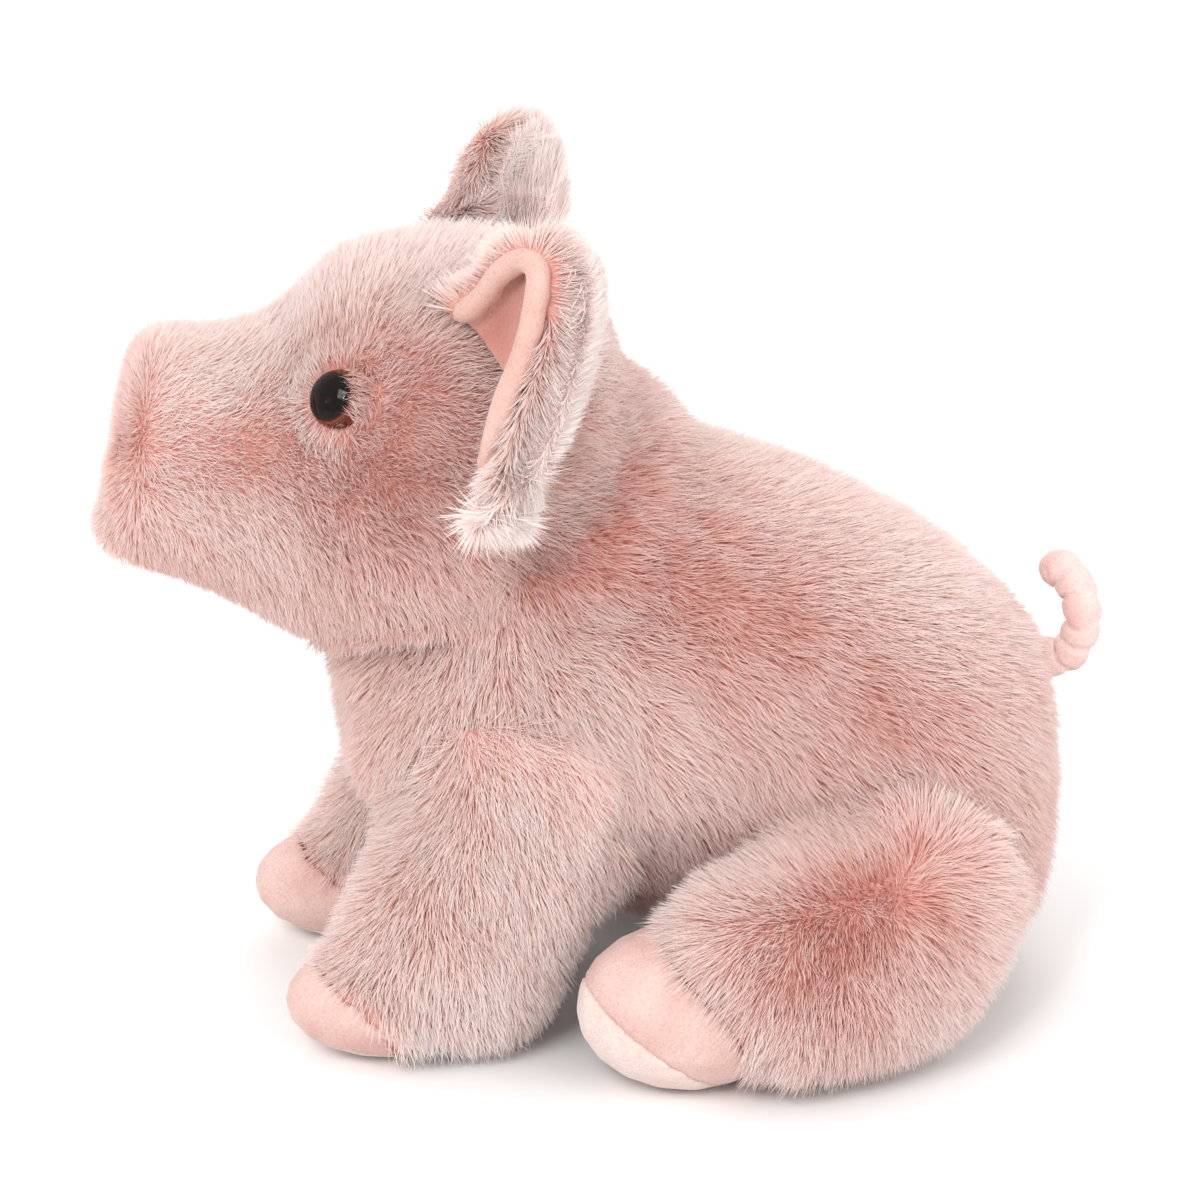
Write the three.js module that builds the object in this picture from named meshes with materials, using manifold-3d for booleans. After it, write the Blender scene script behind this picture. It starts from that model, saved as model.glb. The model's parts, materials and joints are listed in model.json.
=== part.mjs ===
// A plush piglet that sits up: front legs reaching forward, hind legs folded out beside the belly.
// Millimetres, +Z up. The nose points to -X and the piglet's own left side to -Y.
// Every stuffed form is drawn at the outer face of its fur pile, and the larger form cuts the smaller.
import * as THREE from 'three';
import { mergeVertices } from 'three/addons/utils/BufferGeometryUtils.js';
import Module from 'manifold-3d';

const wasm = await Module();
wasm.setup();

const X = new THREE.Vector3(1, 0, 0);
const Y = new THREE.Vector3(0, 1, 0);
const Z = new THREE.Vector3(0, 0, 1);
const LEFT = -1;
const RIGHT = 1;
const SIDES = { left: LEFT, right: RIGHT };

// Clearances
const SEAM_GAP = 0.3; // between two pieces sewn or glued together
const SWING_GAP = 0.6; // between a swung piece and what it swings past
const OVERRUN = 20; // how far a cutting shape runs past what it cuts
const FLAT_DEPTH = 0.5; // how deep the soft forms are pressed flat where they rest

// Torso, drawn about an origin on the floor, a little behind the neck's pivot
const TORSO_LENGTH = 201;
const TORSO_HEIGHT = 171;
const TORSO_WIDTH = 118;
const TORSO_CHEST = -65; // x of the foremost point of the chest
// each row: share of the length, low and high shares of the height, share of the half width
const TORSO_SHARES = [
  [0, 0.51, 0.51, 0],
  [0.022, 0.38, 0.66, 0.4],
  [0.075, 0.28, 0.76, 0.62],
  [0.15, 0.22, 0.86, 0.78],
  [0.25, 0.185, 0.93, 0.89],
  [0.35, 0.15, 0.965, 0.95],
  [0.45, 0.13, 0.968, 0.98],
  [0.55, 0.09, 0.923, 1],
  [0.65, 0.04, 0.872, 1],
  [0.75, 0, 0.81, 0.98],
  [0.85, 0, 0.732, 0.9],
  [0.93, 0.06, 0.635, 0.72],
  [0.975, 0.14, 0.56, 0.47],
  [1, 0.34, 0.34, 0],
];

// Neck: a round swell of the torso that the head is sewn over
const NECK_RADIUS = 52;
const NECK_HEIGHT = 128.5;
const NECK_FORWARD = 4; // how far the pivot stands ahead of the origin

// Head and snout in one tapering form, its front face leaning back
const HEAD_LENGTH = 144.5;
const HEAD_HEIGHT = 125.5;
const HEAD_WIDTH = 106;
const HEAD_BACK = 18; // x of the back of the head
const HEAD_LOW = 95; // height of the jaw over the floor
// each row: share of the length, low and high shares of the height, share of the half width, lean
const HEAD_SHARES = [
  [0, 0.56, 0.56, 0, 0.18],
  [0.004, 0.44, 0.68, 0.3, 0.18],
  [0.014, 0.36, 0.76, 0.48, 0.18],
  [0.045, 0.3, 0.8, 0.6, 0.17],
  [0.12, 0.255, 0.81, 0.64, 0.13],
  [0.22, 0.195, 0.81, 0.69, 0.08],
  [0.33, 0.11, 0.86, 0.79, 0.04],
  [0.43, 0.05, 0.955, 0.91, 0],
  [0.55, 0, 0.995, 0.99, 0],
  [0.69, 0, 1, 1, 0],
  [0.81, 0.05, 0.965, 0.95, 0],
  [0.91, 0.15, 0.875, 0.8, 0],
  [0.97, 0.29, 0.73, 0.47, 0],
  [1, 0.51, 0.51, 0, 0],
];
const CHIN_LENGTH = 34;
const CHIN_HEIGHT = 21;
const CHIN_WIDTH = 46;
const CHIN_REACH = 7; // how far the chin stands out past the nose tip
const CHIN_DROP = 25; // from the nose tip down to the chin's middle
const NOSE_THICKNESS = 6.5; // of the sewn nose panel, on the head's middle line
const NOSTRIL_LENGTH = 9;
const NOSTRIL_WIDTH = 5.5;
const NOSTRIL_THICKNESS = 1.6;
const NOSTRIL_SPREAD = 11; // from the middle line to a nostril's centre
const NOSTRIL_PROUD = 0.4;

// Eyes: an amber dome over a black pupil and back, whose shank a washer holds inside the head
const EYE_DIAMETER = 16;
const EYE_DOME = 5;
const EYE_BACK = 1.4;
const PUPIL_DIAMETER = 11;
const PUPIL_RISE = 0.8;
const SHANK_DIAMETER = 4.5;
const SHANK_LENGTH = 11;
const CLOTH_THICKNESS = 2.5; // pile backing between the eye and its washer
const WASHER_DIAMETER = 13;
const WASHER_THICKNESS = 1.6;
const EYE_REACH = 58; // from the nose tip back to the eye
const EYE_RISE = 94; // from the jaw up to the eye
const EYE_DEPTH = 3.5; // how deep the dome's rim lies under the pile

// Ears: a fur back and a smooth lining, one folded leaf each
const EAR_HEIGHT = 76; // from the root down to the tip, times the shares below
const EAR_PILE = 8; // thickness of the fur at the inner edge
const EAR_PILE_GROWTH = { rim: 2, tip: 11 }; // how much thicker the fur is along the rim, and at the tip
const EAR_RIM_REACH = 1.5; // how far the fur stands out past the cloth's rim
const EAR_RIM_SHARE = 0.75; // of the leaf's thickness, along its edges
const EAR_LINING = 2.4;
const EAR_ROLL = 4.5; // how much thicker the lining is where it rolls over the rim
const EAR_LINING_SHARE = 0.9; // of the leaf's half width
const EAR_LINING_LENGTH_SHARE = 0.8; // of the leaf's length
const LEAF_STEP_SHARE = 0.02; // of the leaf, over which its slope is taken
const CROWN_POWER = 4; // how late the leaf's faces round off toward their edges
const EAR_ROOT = { back: -3, out: 28, up: 210 };
// shares of EAR_HEIGHT from the root: back, out, up, along the rim, the middle and the inner edge
const EAR_RIM_SHARES = [
  [-0.4, 0.1, -0.1],
  [-0.27, 0.18, 0.08],
  [-0.17, 0.29, 0.2],
  [-0.145, 0.42, 0.17],
  [-0.19, 0.52, 0],
  [-0.3, 0.55, -0.28],
  [-0.38, 0.5, -0.58],
];
const EAR_MIDDLE_SHARES = [
  [-0.05, 0, -0.04],
  [-0.05, 0.11, 0.09],
  [-0.06, 0.26, 0.12],
  [-0.11, 0.39, 0],
  [-0.19, 0.46, -0.2],
  [-0.3, 0.49, -0.42],
  [-0.37, 0.51, -0.63],
];
const EAR_INNER_SHARES = [
  [-0.05, 0.16, -0.23],
  [-0.09, 0.23, -0.2],
  [-0.14, 0.3, -0.2],
  [-0.22, 0.34, -0.26],
  [-0.29, 0.38, -0.38],
  [-0.35, 0.44, -0.52],
  [-0.38, 0.5, -0.64],
];

// Front legs, drawn in level slices from the foot up to the shoulder
const ARM_HEIGHT = 112;
const ARM_DEPTH = 95;
const ARM_WIDTH = 50;
const ARM_HEEL = 18; // x of the rearmost point of the leg
const ARM_SPREAD = { left: 43, right: 36 }; // from the middle line to each foot's centre
const ARM_LEAN_IN = 5; // how far the shoulder stands inside the foot
// each row: share of the height, rear and front shares of the depth, share of the half width, lean in
const ARM_SHARES = [
  [0, 0.55, 0.55, 0, 0],
  [0.012, 0.4, 0.72, 0.55, 0],
  [0.055, 0.335, 0.84, 0.8, 0],
  [0.135, 0.265, 0.94, 0.93, 0],
  [0.27, 0.195, 0.98, 1, 0.05],
  [0.4, 0.105, 0.93, 1, 0.15],
  [0.54, 0.05, 0.84, 1, 0.35],
  [0.71, 0, 0.73, 1, 0.6],
  [0.85, 0.02, 0.66, 0.88, 0.85],
  [0.95, 0.12, 0.56, 0.6, 1],
  [1, 0.34, 0.34, 0, 1],
];

// Hind legs, drawn in upright slices from the hoof back to the thigh
const THIGH_LENGTH = 106;
const THIGH_HEIGHT = 77;
const THIGH_WIDTH = 64;
const THIGH_FRONT = 16; // x of the foremost point of the fur
const THIGH_SPREAD = 46; // from the middle line to the thigh's rear
const THIGH_SPLAY = 31; // how much further out the foot's end stands
// each row: share of the length, low and high shares of the height, share of the half width, splay
const THIGH_SHARES = [
  [0, 0.6, 0.6, 0, 1],
  [0.02, 0.5, 0.7, 0.4, 1],
  [0.08, 0.4, 0.78, 0.66, 1],
  [0.16, 0.27, 0.83, 0.83, 0.98],
  [0.23, 0.07, 0.86, 0.9, 0.95],
  [0.32, 0, 0.885, 0.98, 0.9],
  [0.5, 0, 0.92, 1, 0.73],
  [0.66, 0, 1, 1, 0.48],
  [0.8, 0.08, 0.96, 0.93, 0.25],
  [0.92, 0.27, 0.84, 0.62, 0.08],
  [1, 0.5, 0.5, 0, 0],
];

// Hooves: a smooth cap split by its seam into a toe and a sole
const FRONT_HOOF = { length: 58, width: 41, height: 31, tip: -84, seam: 4, tilt: 6 };
const HIND_HOOF = { length: 62, width: 47, height: 46, tip: -7, seam: 8.5, tilt: 38 };
const FRONT_HOOF_REACH = { left: 0, right: 4 }; // how much further forward the right foot points
const HIND_HOOF_SPREAD = 72; // from the middle line to a hind hoof's centre

// Tail: a gathered tube that rises from the rump and curls back over
const TAIL_DIAMETER = 10.4;
const TAIL_ROOT_DIAMETER = 14;
const TAIL_ROOT_SHARE = 0.33; // of the tail's length, over which it narrows
const TAIL_TIP_SHARE = 0.17; // of the tail's length, over which its end rounds off
const TAIL_END_SHARE = 0.45; // of the tail's radius, at its last ring
const TAIL_HEIGHT = 28; // from the root to the top of the curl
const TAIL_ROOT = { back: 124, up: 89 };
// shares of TAIL_HEIGHT from the root: back, to the side, up
const TAIL_SHARES = [
  [0, 0, 0.04],
  [0.27, 0, 0.03],
  [0.48, -0.07, 0.1],
  [0.58, -0.17, 0.38],
  [0.58, -0.13, 0.68],
  [0.48, 0.07, 0.89],
  [0.38, 0.19, 0.9],
  [0.34, 0.12, 0.74],
];

// Swings of the sewn joints, in degrees about each pivot
const NECK_SWING = { pivot: [-NECK_FORWARD, 0, NECK_HEIGHT], axis: Y, from: -10, to: 8 };
const SHOULDER = { back: -12, up: 86, from: -2, to: 24 };
const HIP = { back: 98, up: 38, from: -12, to: 5 };
const EAR_SWING = { from: -5, to: 30 };
const TAIL_SWING = { back: 130, from: -20, to: 20 };
const SWING_SHARES = [0, 0.5, 1]; // of each half swing, where its clearance is cut

// Facets
const AROUND = 24;
const SLICES = 22;
const LIMB_AROUND = 20;
const LIMB_SLICES = 16;
const HOOF_AROUND = 20;
const HOOF_SLICES = 10;
const LEAF_LONG = 14;
const LEAF_WIDE = 8;
const TAIL_AROUND = 8;
const TAIL_STEPS = 18;
const EYE_AROUND = 20;
const DOME_STEPS = 5;
const SQUARENESS = 2.3; // of a stuffed form's slice: 2 is an ellipse, more is fuller

const FUR = new THREE.MeshStandardMaterial({ color: 0xdbb5ae, roughness: 0.95, metalness: 0 });
const EAR_FUR = new THREE.MeshStandardMaterial({ color: 0xdec1bd, roughness: 0.95, metalness: 0 });
const SMOOTH = new THREE.MeshStandardMaterial({ color: 0xf5d5cd, roughness: 0.85, metalness: 0 });
const SOLE = new THREE.MeshStandardMaterial({ color: 0xf1d9d2, roughness: 0.9, metalness: 0 });
const LINING = new THREE.MeshStandardMaterial({ color: 0xecc8be, roughness: 0.85, metalness: 0 });
const THREAD = new THREE.MeshStandardMaterial({ color: 0xb4736b, roughness: 0.8, metalness: 0 });
const AMBER = new THREE.MeshStandardMaterial({ color: 0x7a3514, roughness: 0.08, metalness: 0 });
const BLACK = new THREE.MeshStandardMaterial({ color: 0x0d0a09, roughness: 0.25, metalness: 0 });
const NYLON = new THREE.MeshStandardMaterial({ color: 0xe9e6df, roughness: 0.5, metalness: 0 });

const group = new THREE.Group();

function add(name, solid, material) {
  const mesh = new THREE.Mesh(fromManifold(solid), material.clone());
  mesh.name = name;
  group.add(mesh);
}

// Solids

function toManifold(geometry) {
  const bare = geometry.clone();
  bare.deleteAttribute('normal');
  bare.deleteAttribute('uv');
  const merged = mergeVertices(bare);
  const mesh = new wasm.Mesh({
    numProp: 3,
    vertProperties: new Float32Array(merged.attributes.position.array),
    triVerts: new Uint32Array(merged.index.array),
  });
  return new wasm.Manifold(mesh);
}

function fromManifold(solid) {
  const mesh = solid.getMesh();
  const geometry = new THREE.BufferGeometry();
  geometry.setAttribute('position', new THREE.BufferAttribute(mesh.vertProperties, 3));
  geometry.setIndex(new THREE.BufferAttribute(mesh.triVerts, 1));
  return geometry;
}

function signedVolume(positions, triangles) {
  const a = new THREE.Vector3();
  const b = new THREE.Vector3();
  const c = new THREE.Vector3();
  let sum = 0;
  for (const [i, j, k] of triangles) {
    a.copy(positions[i]);
    b.copy(positions[j]);
    c.copy(positions[k]);
    sum += a.dot(b.cross(c));
  }
  return sum;
}

function closedGeometry(positions, triangles) {
  const outward = signedVolume(positions, triangles) > 0;
  const geometry = new THREE.BufferGeometry().setFromPoints(positions);
  geometry.setIndex(triangles.flatMap(([i, j, k]) => (outward ? [i, j, k] : [i, k, j])));
  return geometry;
}

// A closed skin over rings of points, drawn to a pole at each end
function loft(rings, firstPole, lastPole) {
  const around = rings[0].length;
  const positions = [...rings.flat(), firstPole, lastPole];
  const first = positions.length - 2;
  const last = positions.length - 1;
  const at = (ring, step) => ring * around + (step % around);
  const triangles = [];
  for (let step = 0; step < around; step += 1) {
    triangles.push([first, at(0, step + 1), at(0, step)]);
    triangles.push([last, at(rings.length - 1, step), at(rings.length - 1, step + 1)]);
    for (let ring = 0; ring + 1 < rings.length; ring += 1) {
      triangles.push([at(ring, step), at(ring, step + 1), at(ring + 1, step + 1)]);
      triangles.push([at(ring, step), at(ring + 1, step + 1), at(ring + 1, step)]);
    }
  }
  return closedGeometry(positions, triangles);
}

function roundedPower(value) {
  return Math.sign(value) * Math.abs(value) ** (2 / SQUARENESS);
}

// A smooth curve through rows of numbers, three at a time
function rowsCurve(rows, columns) {
  const points = rows.map((row) => new THREE.Vector3(...columns.map((column) => row[column] ?? 0)));
  return new THREE.CatmullRomCurve3(points, false, 'catmullrom', 0.5);
}

// A stuffed form from rows of shares: along, low, high, half width, and one more for the slice's shift
function stuffed(rows, place, around, slices) {
  const outline = rowsCurve(rows, [0, 1, 2]);
  const breadth = rowsCurve(rows, [3, 4, 4]);
  const rings = [];
  for (let slice = 1; slice < slices; slice += 1) {
    const share = slice / slices;
    const [along, low, high] = outline.getPoint(share).toArray();
    const [wide, shift] = breadth.getPoint(share).toArray();
    const ring = [];
    for (let step = 0; step < around; step += 1) {
      const angle = (2 * Math.PI * step) / around;
      const across = roundedPower(Math.sin(angle)) * Math.max(wide, 0);
      const level = (low + high) / 2 + (roundedPower(Math.cos(angle)) * (high - low)) / 2;
      ring.push(place(along, level, across, shift));
    }
    rings.push(ring);
  }
  const first = rows[0];
  const last = rows[rows.length - 1];
  return loft(rings, place(first[0], first[1], 0, first[4] ?? 0), place(last[0], last[1], 0, last[4] ?? 0));
}

// The same form, larger all round by a clearance
function grown(geometry, clearance) {
  geometry.computeBoundingBox();
  const size = geometry.boundingBox.getSize(new THREE.Vector3());
  const centre = geometry.boundingBox.getCenter(new THREE.Vector3());
  const larger = (length) => (length + 2 * clearance) / length;
  const copy = geometry.clone();
  copy.translate(-centre.x, -centre.y, -centre.z);
  copy.scale(larger(size.x), larger(size.y), larger(size.z));
  copy.translate(centre.x, centre.y, centre.z);
  return copy;
}

function turned(geometry, pivot, axis, degrees) {
  const copy = geometry.clone();
  copy.translate(-pivot[0], -pivot[1], -pivot[2]);
  copy.applyMatrix4(new THREE.Matrix4().makeRotationAxis(axis, THREE.MathUtils.degToRad(degrees)));
  copy.translate(pivot[0], pivot[1], pivot[2]);
  return copy;
}

// Cuts a moving piece clear of the pieces that stand still beside it, over its whole swing
function swungClear(solid, blockers, swing) {
  const ends = [swing.from, swing.to];
  const angles = new Set(ends.flatMap((end) => SWING_SHARES.map((share) => share * end + 0)));
  let clear = solid;
  for (const angle of angles) {
    for (const blocker of blockers) {
      const gap = angle === 0 ? SEAM_GAP : SWING_GAP;
      clear = clear.subtract(toManifold(turned(grown(blocker, gap), swing.pivot, swing.axis, -angle)));
    }
  }
  return clear;
}

// The largest of the separate pieces that a cut leaves
function mainPiece(solid) {
  return solid.decompose().sort((a, b) => b.volume() - a.volume())[0];
}

function belowFloor() {
  const reach = TORSO_LENGTH + HEAD_LENGTH;
  const block = new THREE.BoxGeometry(2 * reach, 2 * reach, reach);
  block.translate(0, 0, -reach / 2);
  return toManifold(block);
}

const floor = belowFloor();

// Torso with its neck

const torsoForm = stuffed(
  TORSO_SHARES,
  (along, level, across) =>
    new THREE.Vector3(
      TORSO_CHEST + along * TORSO_LENGTH,
      (across * TORSO_WIDTH) / 2,
      level * (TORSO_HEIGHT + FLAT_DEPTH) - FLAT_DEPTH,
    ),
  AROUND,
  SLICES,
);

function neckForm() {
  const neck = new THREE.SphereGeometry(NECK_RADIUS, AROUND, SLICES / 2);
  neck.rotateX(Math.PI / 2);
  neck.translate(-NECK_FORWARD, 0, NECK_HEIGHT);
  return neck;
}

const neck = neckForm();
// how far the neck's facets lie inside the round
const neckSag = NECK_RADIUS / Math.cos(Math.PI / AROUND) - NECK_RADIUS;
const torso = toManifold(torsoForm).add(toManifold(neck)).subtract(floor);

// Head, nose panel and nostrils

const headForm = stuffed(
  HEAD_SHARES,
  (along, level, across, lean) => {
    const middle = HEAD_SHARES[0][1] * HEAD_HEIGHT;
    return new THREE.Vector3(
      HEAD_BACK - HEAD_LENGTH + along * HEAD_LENGTH + lean * (level * HEAD_HEIGHT - middle),
      (across * HEAD_WIDTH) / 2,
      HEAD_LOW + level * HEAD_HEIGHT,
    );
  },
  AROUND,
  SLICES,
);

const noseTilt = Math.atan(HEAD_SHARES[0][4]);
const noseTip = new THREE.Vector3(HEAD_BACK - HEAD_LENGTH, 0, HEAD_LOW + HEAD_SHARES[0][1] * HEAD_HEIGHT);

// A block whose rear face crosses the snout a given depth behind the nose tip
function noseBlock(depth) {
  const block = new THREE.BoxGeometry(2 * OVERRUN, HEAD_WIDTH, HEAD_HEIGHT);
  block.translate(depth - OVERRUN, 0, 0);
  block.rotateY(noseTilt);
  block.translate(noseTip.x, noseTip.y, noseTip.z);
  return toManifold(block);
}

// The lower lip, a pad under the nose panel that runs back into the jaw
function chinForm() {
  const chin = new THREE.SphereGeometry(1, LIMB_AROUND, HOOF_SLICES);
  chin.rotateZ(Math.PI / 2);
  chin.scale(CHIN_LENGTH / 2, CHIN_WIDTH / 2, CHIN_HEIGHT / 2);
  chin.translate(noseTip.x - CHIN_REACH + CHIN_LENGTH / 2, 0, noseTip.z - CHIN_DROP);
  return toManifold(chin).subtract(noseClearance());
}

// The room of the nose panel, a gap wider all round
function noseClearance() {
  return toManifold(grown(headForm, SEAM_GAP)).intersect(noseBlock(NOSE_THICKNESS));
}

function nostrilForm(side, margin) {
  const disc = new THREE.CylinderGeometry(1, 1, 1, LIMB_AROUND);
  disc.rotateZ(Math.PI / 2);
  const deep = NOSTRIL_THICKNESS + margin;
  const length = NOSTRIL_LENGTH + 2 * margin;
  const width = NOSTRIL_WIDTH + 2 * margin;
  disc.scale(deep + (margin > 0 ? OVERRUN : 0), width / 2, length / 2);
  disc.computeBoundingBox();
  disc.translate(NOSTRIL_THICKNESS - NOSTRIL_PROUD + margin - disc.boundingBox.max.x, 0, 0);
  disc.rotateY(noseTilt);
  disc.translate(noseTip.x, side * NOSTRIL_SPREAD, noseTip.z);
  return toManifold(disc);
}

// Eyes

function eyeFrame(side) {
  const centre = new THREE.Vector3(noseTip.x + EYE_REACH, 0, HEAD_LOW + EYE_RISE);
  const mesh = new THREE.Mesh(headForm, new THREE.MeshBasicMaterial({ side: THREE.DoubleSide }));
  const ray = new THREE.Raycaster(centre, new THREE.Vector3(0, side, 0));
  const hit = ray.intersectObject(mesh)[0];
  const out = hit.face.normal.clone();
  if (out.y * side < 0) out.negate();
  const seat = hit.point.clone().addScaledVector(out, -EYE_DEPTH);
  return { seat, turn: new THREE.Quaternion().setFromUnitVectors(Y, out) };
}

// A turned piece about the eye's own axis, from a closed profile of radius and height
function eyePiece(frame, profile) {
  const lathe = new THREE.LatheGeometry(profile.map(([r, h]) => new THREE.Vector2(r, h)), EYE_AROUND);
  lathe.applyQuaternion(frame.turn);
  lathe.translate(frame.seat.x, frame.seat.y, frame.seat.z);
  const solid = toManifold(lathe);
  if (solid.volume() > 0) return solid;
  return toManifold(flipped(lathe));
}

function flipped(geometry) {
  const copy = geometry.clone();
  const index = copy.index.array;
  for (let i = 0; i < index.length; i += 3) {
    [index[i + 1], index[i + 2]] = [index[i + 2], index[i + 1]];
  }
  return copy;
}

const eyeRadius = EYE_DIAMETER / 2;
const pupilRadius = PUPIL_DIAMETER / 2;
const shankRadius = SHANK_DIAMETER / 2;
const washerRadius = WASHER_DIAMETER / 2;
const backFace = -SEAM_GAP - EYE_BACK;
const washerTop = backFace - CLOTH_THICKNESS;
const washerBottom = washerTop - WASHER_THICKNESS;
const shankEnd = backFace - SHANK_LENGTH;

function eyeLens(frame) {
  const dome = [];
  for (let step = 0; step <= DOME_STEPS; step += 1) {
    const angle = (Math.PI / 2) * (step / DOME_STEPS);
    dome.push([eyeRadius * Math.sin(angle), EYE_DOME * Math.cos(angle)]);
  }
  const recess = [
    [pupilRadius + SEAM_GAP, 0],
    [pupilRadius + SEAM_GAP, PUPIL_RISE + SEAM_GAP],
    [0, PUPIL_RISE + SEAM_GAP],
  ];
  return eyePiece(frame, [...dome, ...recess]);
}

function eyeBack(frame) {
  return eyePiece(frame, [
    [0, PUPIL_RISE],
    [pupilRadius, PUPIL_RISE],
    [pupilRadius, -SEAM_GAP],
    [eyeRadius, -SEAM_GAP],
    [eyeRadius, backFace],
    [shankRadius, backFace],
    [shankRadius, shankEnd],
    [0, shankEnd],
  ]);
}

function eyeWasher(frame) {
  return eyePiece(frame, [
    [shankRadius + SEAM_GAP, washerTop - SEAM_GAP],
    [washerRadius, washerTop - SEAM_GAP],
    [washerRadius, washerBottom - SEAM_GAP],
    [shankRadius + SEAM_GAP, washerBottom - SEAM_GAP],
    [shankRadius + SEAM_GAP, washerTop - SEAM_GAP],
  ]);
}

// The room that an eye takes in the head: a seat for its back, a bore and a pocket for the washer
function eyePocket(frame) {
  return eyePiece(frame, [
    [0, OVERRUN],
    [eyeRadius + SEAM_GAP, OVERRUN],
    [eyeRadius + SEAM_GAP, backFace - SEAM_GAP],
    [shankRadius + SEAM_GAP, backFace - SEAM_GAP],
    [shankRadius + SEAM_GAP, washerTop],
    [washerRadius + SEAM_GAP, washerTop],
    [washerRadius + SEAM_GAP, washerBottom - 2 * SEAM_GAP],
    [shankRadius + SEAM_GAP, washerBottom - 2 * SEAM_GAP],
    [shankRadius + SEAM_GAP, shankEnd - SEAM_GAP],
    [0, shankEnd - SEAM_GAP],
  ]);
}

// Ears

function leafPoint(curves, side, across, along) {
  const rim = curves.rim.getPoint(along);
  const middle = curves.middle.getPoint(along);
  const inner = curves.inner.getPoint(along);
  const slope = rim.clone().sub(inner).multiplyScalar(across / 2);
  const bow = rim.add(inner).multiplyScalar(1 / 2).sub(middle).multiplyScalar(across * across);
  const share = middle.add(slope).add(bow);
  return new THREE.Vector3(
    EAR_ROOT.back + share.x * EAR_HEIGHT,
    side * (EAR_ROOT.out + share.y * EAR_HEIGHT),
    EAR_ROOT.up + share.z * EAR_HEIGHT,
  );
}

function leafNormal(curves, side, across, along) {
  const step = LEAF_STEP_SHARE;
  const ahead = Math.min(along + step, 1 - step);
  const u = leafPoint(curves, side, across + step, ahead).sub(leafPoint(curves, side, across - step, ahead));
  const v = leafPoint(curves, side, across, ahead + step);
  v.sub(leafPoint(curves, side, across, ahead - step));
  return u.cross(v).normalize().multiplyScalar(side);
}

const leafCurves = {
  rim: rowsCurve(EAR_RIM_SHARES, [0, 1, 2]),
  middle: rowsCurve(EAR_MIDDLE_SHARES, [0, 1, 2]),
  inner: rowsCurve(EAR_INNER_SHARES, [0, 1, 2]),
};

// A folded leaf between two faces; each face gives its depth and its reach past the leaf's own rim
function leaf(side, shares, front, back) {
  const rings = [];
  for (let row = 0; row <= LEAF_LONG; row += 1) {
    const along = shares.length * (row / LEAF_LONG);
    const point = (face, column) => {
      const ratio = (2 * column) / LEAF_WIDE - 1;
      const across = shares.width * ratio;
      const own = face(along, ratio);
      const middle = (front(along, ratio).depth + back(along, ratio).depth) / 2;
      const round = Math.sqrt(Math.max(0, 1 - Math.abs(ratio) ** CROWN_POWER));
      const crown = shares.rim + (1 - shares.rim) * round;
      const place = leafPoint(leafCurves, side, across, along);
      const inner = leafPoint(leafCurves, side, -1, along);
      const outward = leafPoint(leafCurves, side, 1, along).sub(inner).normalize();
      const normal = leafNormal(leafCurves, side, across, along);
      place.addScaledVector(normal, middle + (own.depth - middle) * crown);
      return place.addScaledVector(outward, own.reach);
    };
    const ring = [];
    for (let column = 0; column <= LEAF_WIDE; column += 1) ring.push(point(front, column));
    for (let column = LEAF_WIDE; column >= 0; column -= 1) ring.push(point(back, column));
    rings.push(ring);
  }
  const centreOf = (ring) => {
    const sum = ring.reduce((total, point) => total.add(point), new THREE.Vector3());
    return sum.divideScalar(ring.length);
  };
  return loft(rings, centreOf(rings[0]), centreOf(rings[rings.length - 1]));
}

function earBack(side) {
  const shares = { length: 1, width: 1, rim: EAR_RIM_SHARE };
  const pile = (along, ratio) => {
    const outer = (1 + ratio) / 2;
    const depth = EAR_PILE + outer * (EAR_PILE_GROWTH.rim + along * EAR_PILE_GROWTH.tip);
    return { depth: -depth, reach: EAR_RIM_REACH * outer * outer };
  };
  return leaf(side, shares, () => ({ depth: -SEAM_GAP / 2, reach: 0 }), pile);
}

// The lining, or with a margin the room that it takes in the fur
function earLining(side, margin) {
  const shares = { length: EAR_LINING_LENGTH_SHARE, width: EAR_LINING_SHARE, rim: EAR_RIM_SHARE };
  const cloth = (along, ratio) => {
    const roll = EAR_ROLL * Math.max(0, ratio) ** CROWN_POWER;
    return { depth: EAR_LINING + roll + margin, reach: 0 };
  };
  return leaf(side, shares, cloth, () => ({ depth: SEAM_GAP / 2 - margin, reach: 0 }));
}

// Limbs

function armForm(sideName) {
  const side = SIDES[sideName];
  return stuffed(
    ARM_SHARES,
    (along, level, across, leanIn) =>
      new THREE.Vector3(
        ARM_HEEL - level * ARM_DEPTH,
        side * (ARM_SPREAD[sideName] - leanIn * ARM_LEAN_IN) + (across * ARM_WIDTH) / 2,
        along * (ARM_HEIGHT + FLAT_DEPTH) - FLAT_DEPTH,
      ),
    LIMB_AROUND,
    LIMB_SLICES,
  );
}

function thighForm(side) {
  return stuffed(
    THIGH_SHARES,
    (along, level, across, splay) =>
      new THREE.Vector3(
        THIGH_FRONT + along * THIGH_LENGTH,
        side * (THIGH_SPREAD + splay * THIGH_SPLAY) + (across * THIGH_WIDTH) / 2,
        level * (THIGH_HEIGHT + FLAT_DEPTH) - FLAT_DEPTH,
      ),
    LIMB_AROUND,
    LIMB_SLICES,
  );
}

function hoofForm(hoof, y) {
  const cap = new THREE.SphereGeometry(1, HOOF_AROUND, HOOF_SLICES);
  cap.rotateZ(Math.PI / 2);
  cap.scale(hoof.length / 2, hoof.width / 2, (hoof.height + FLAT_DEPTH) / 2);
  cap.translate(hoof.tip + hoof.length / 2, y, (hoof.height + FLAT_DEPTH) / 2 - FLAT_DEPTH);
  return cap;
}

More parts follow.
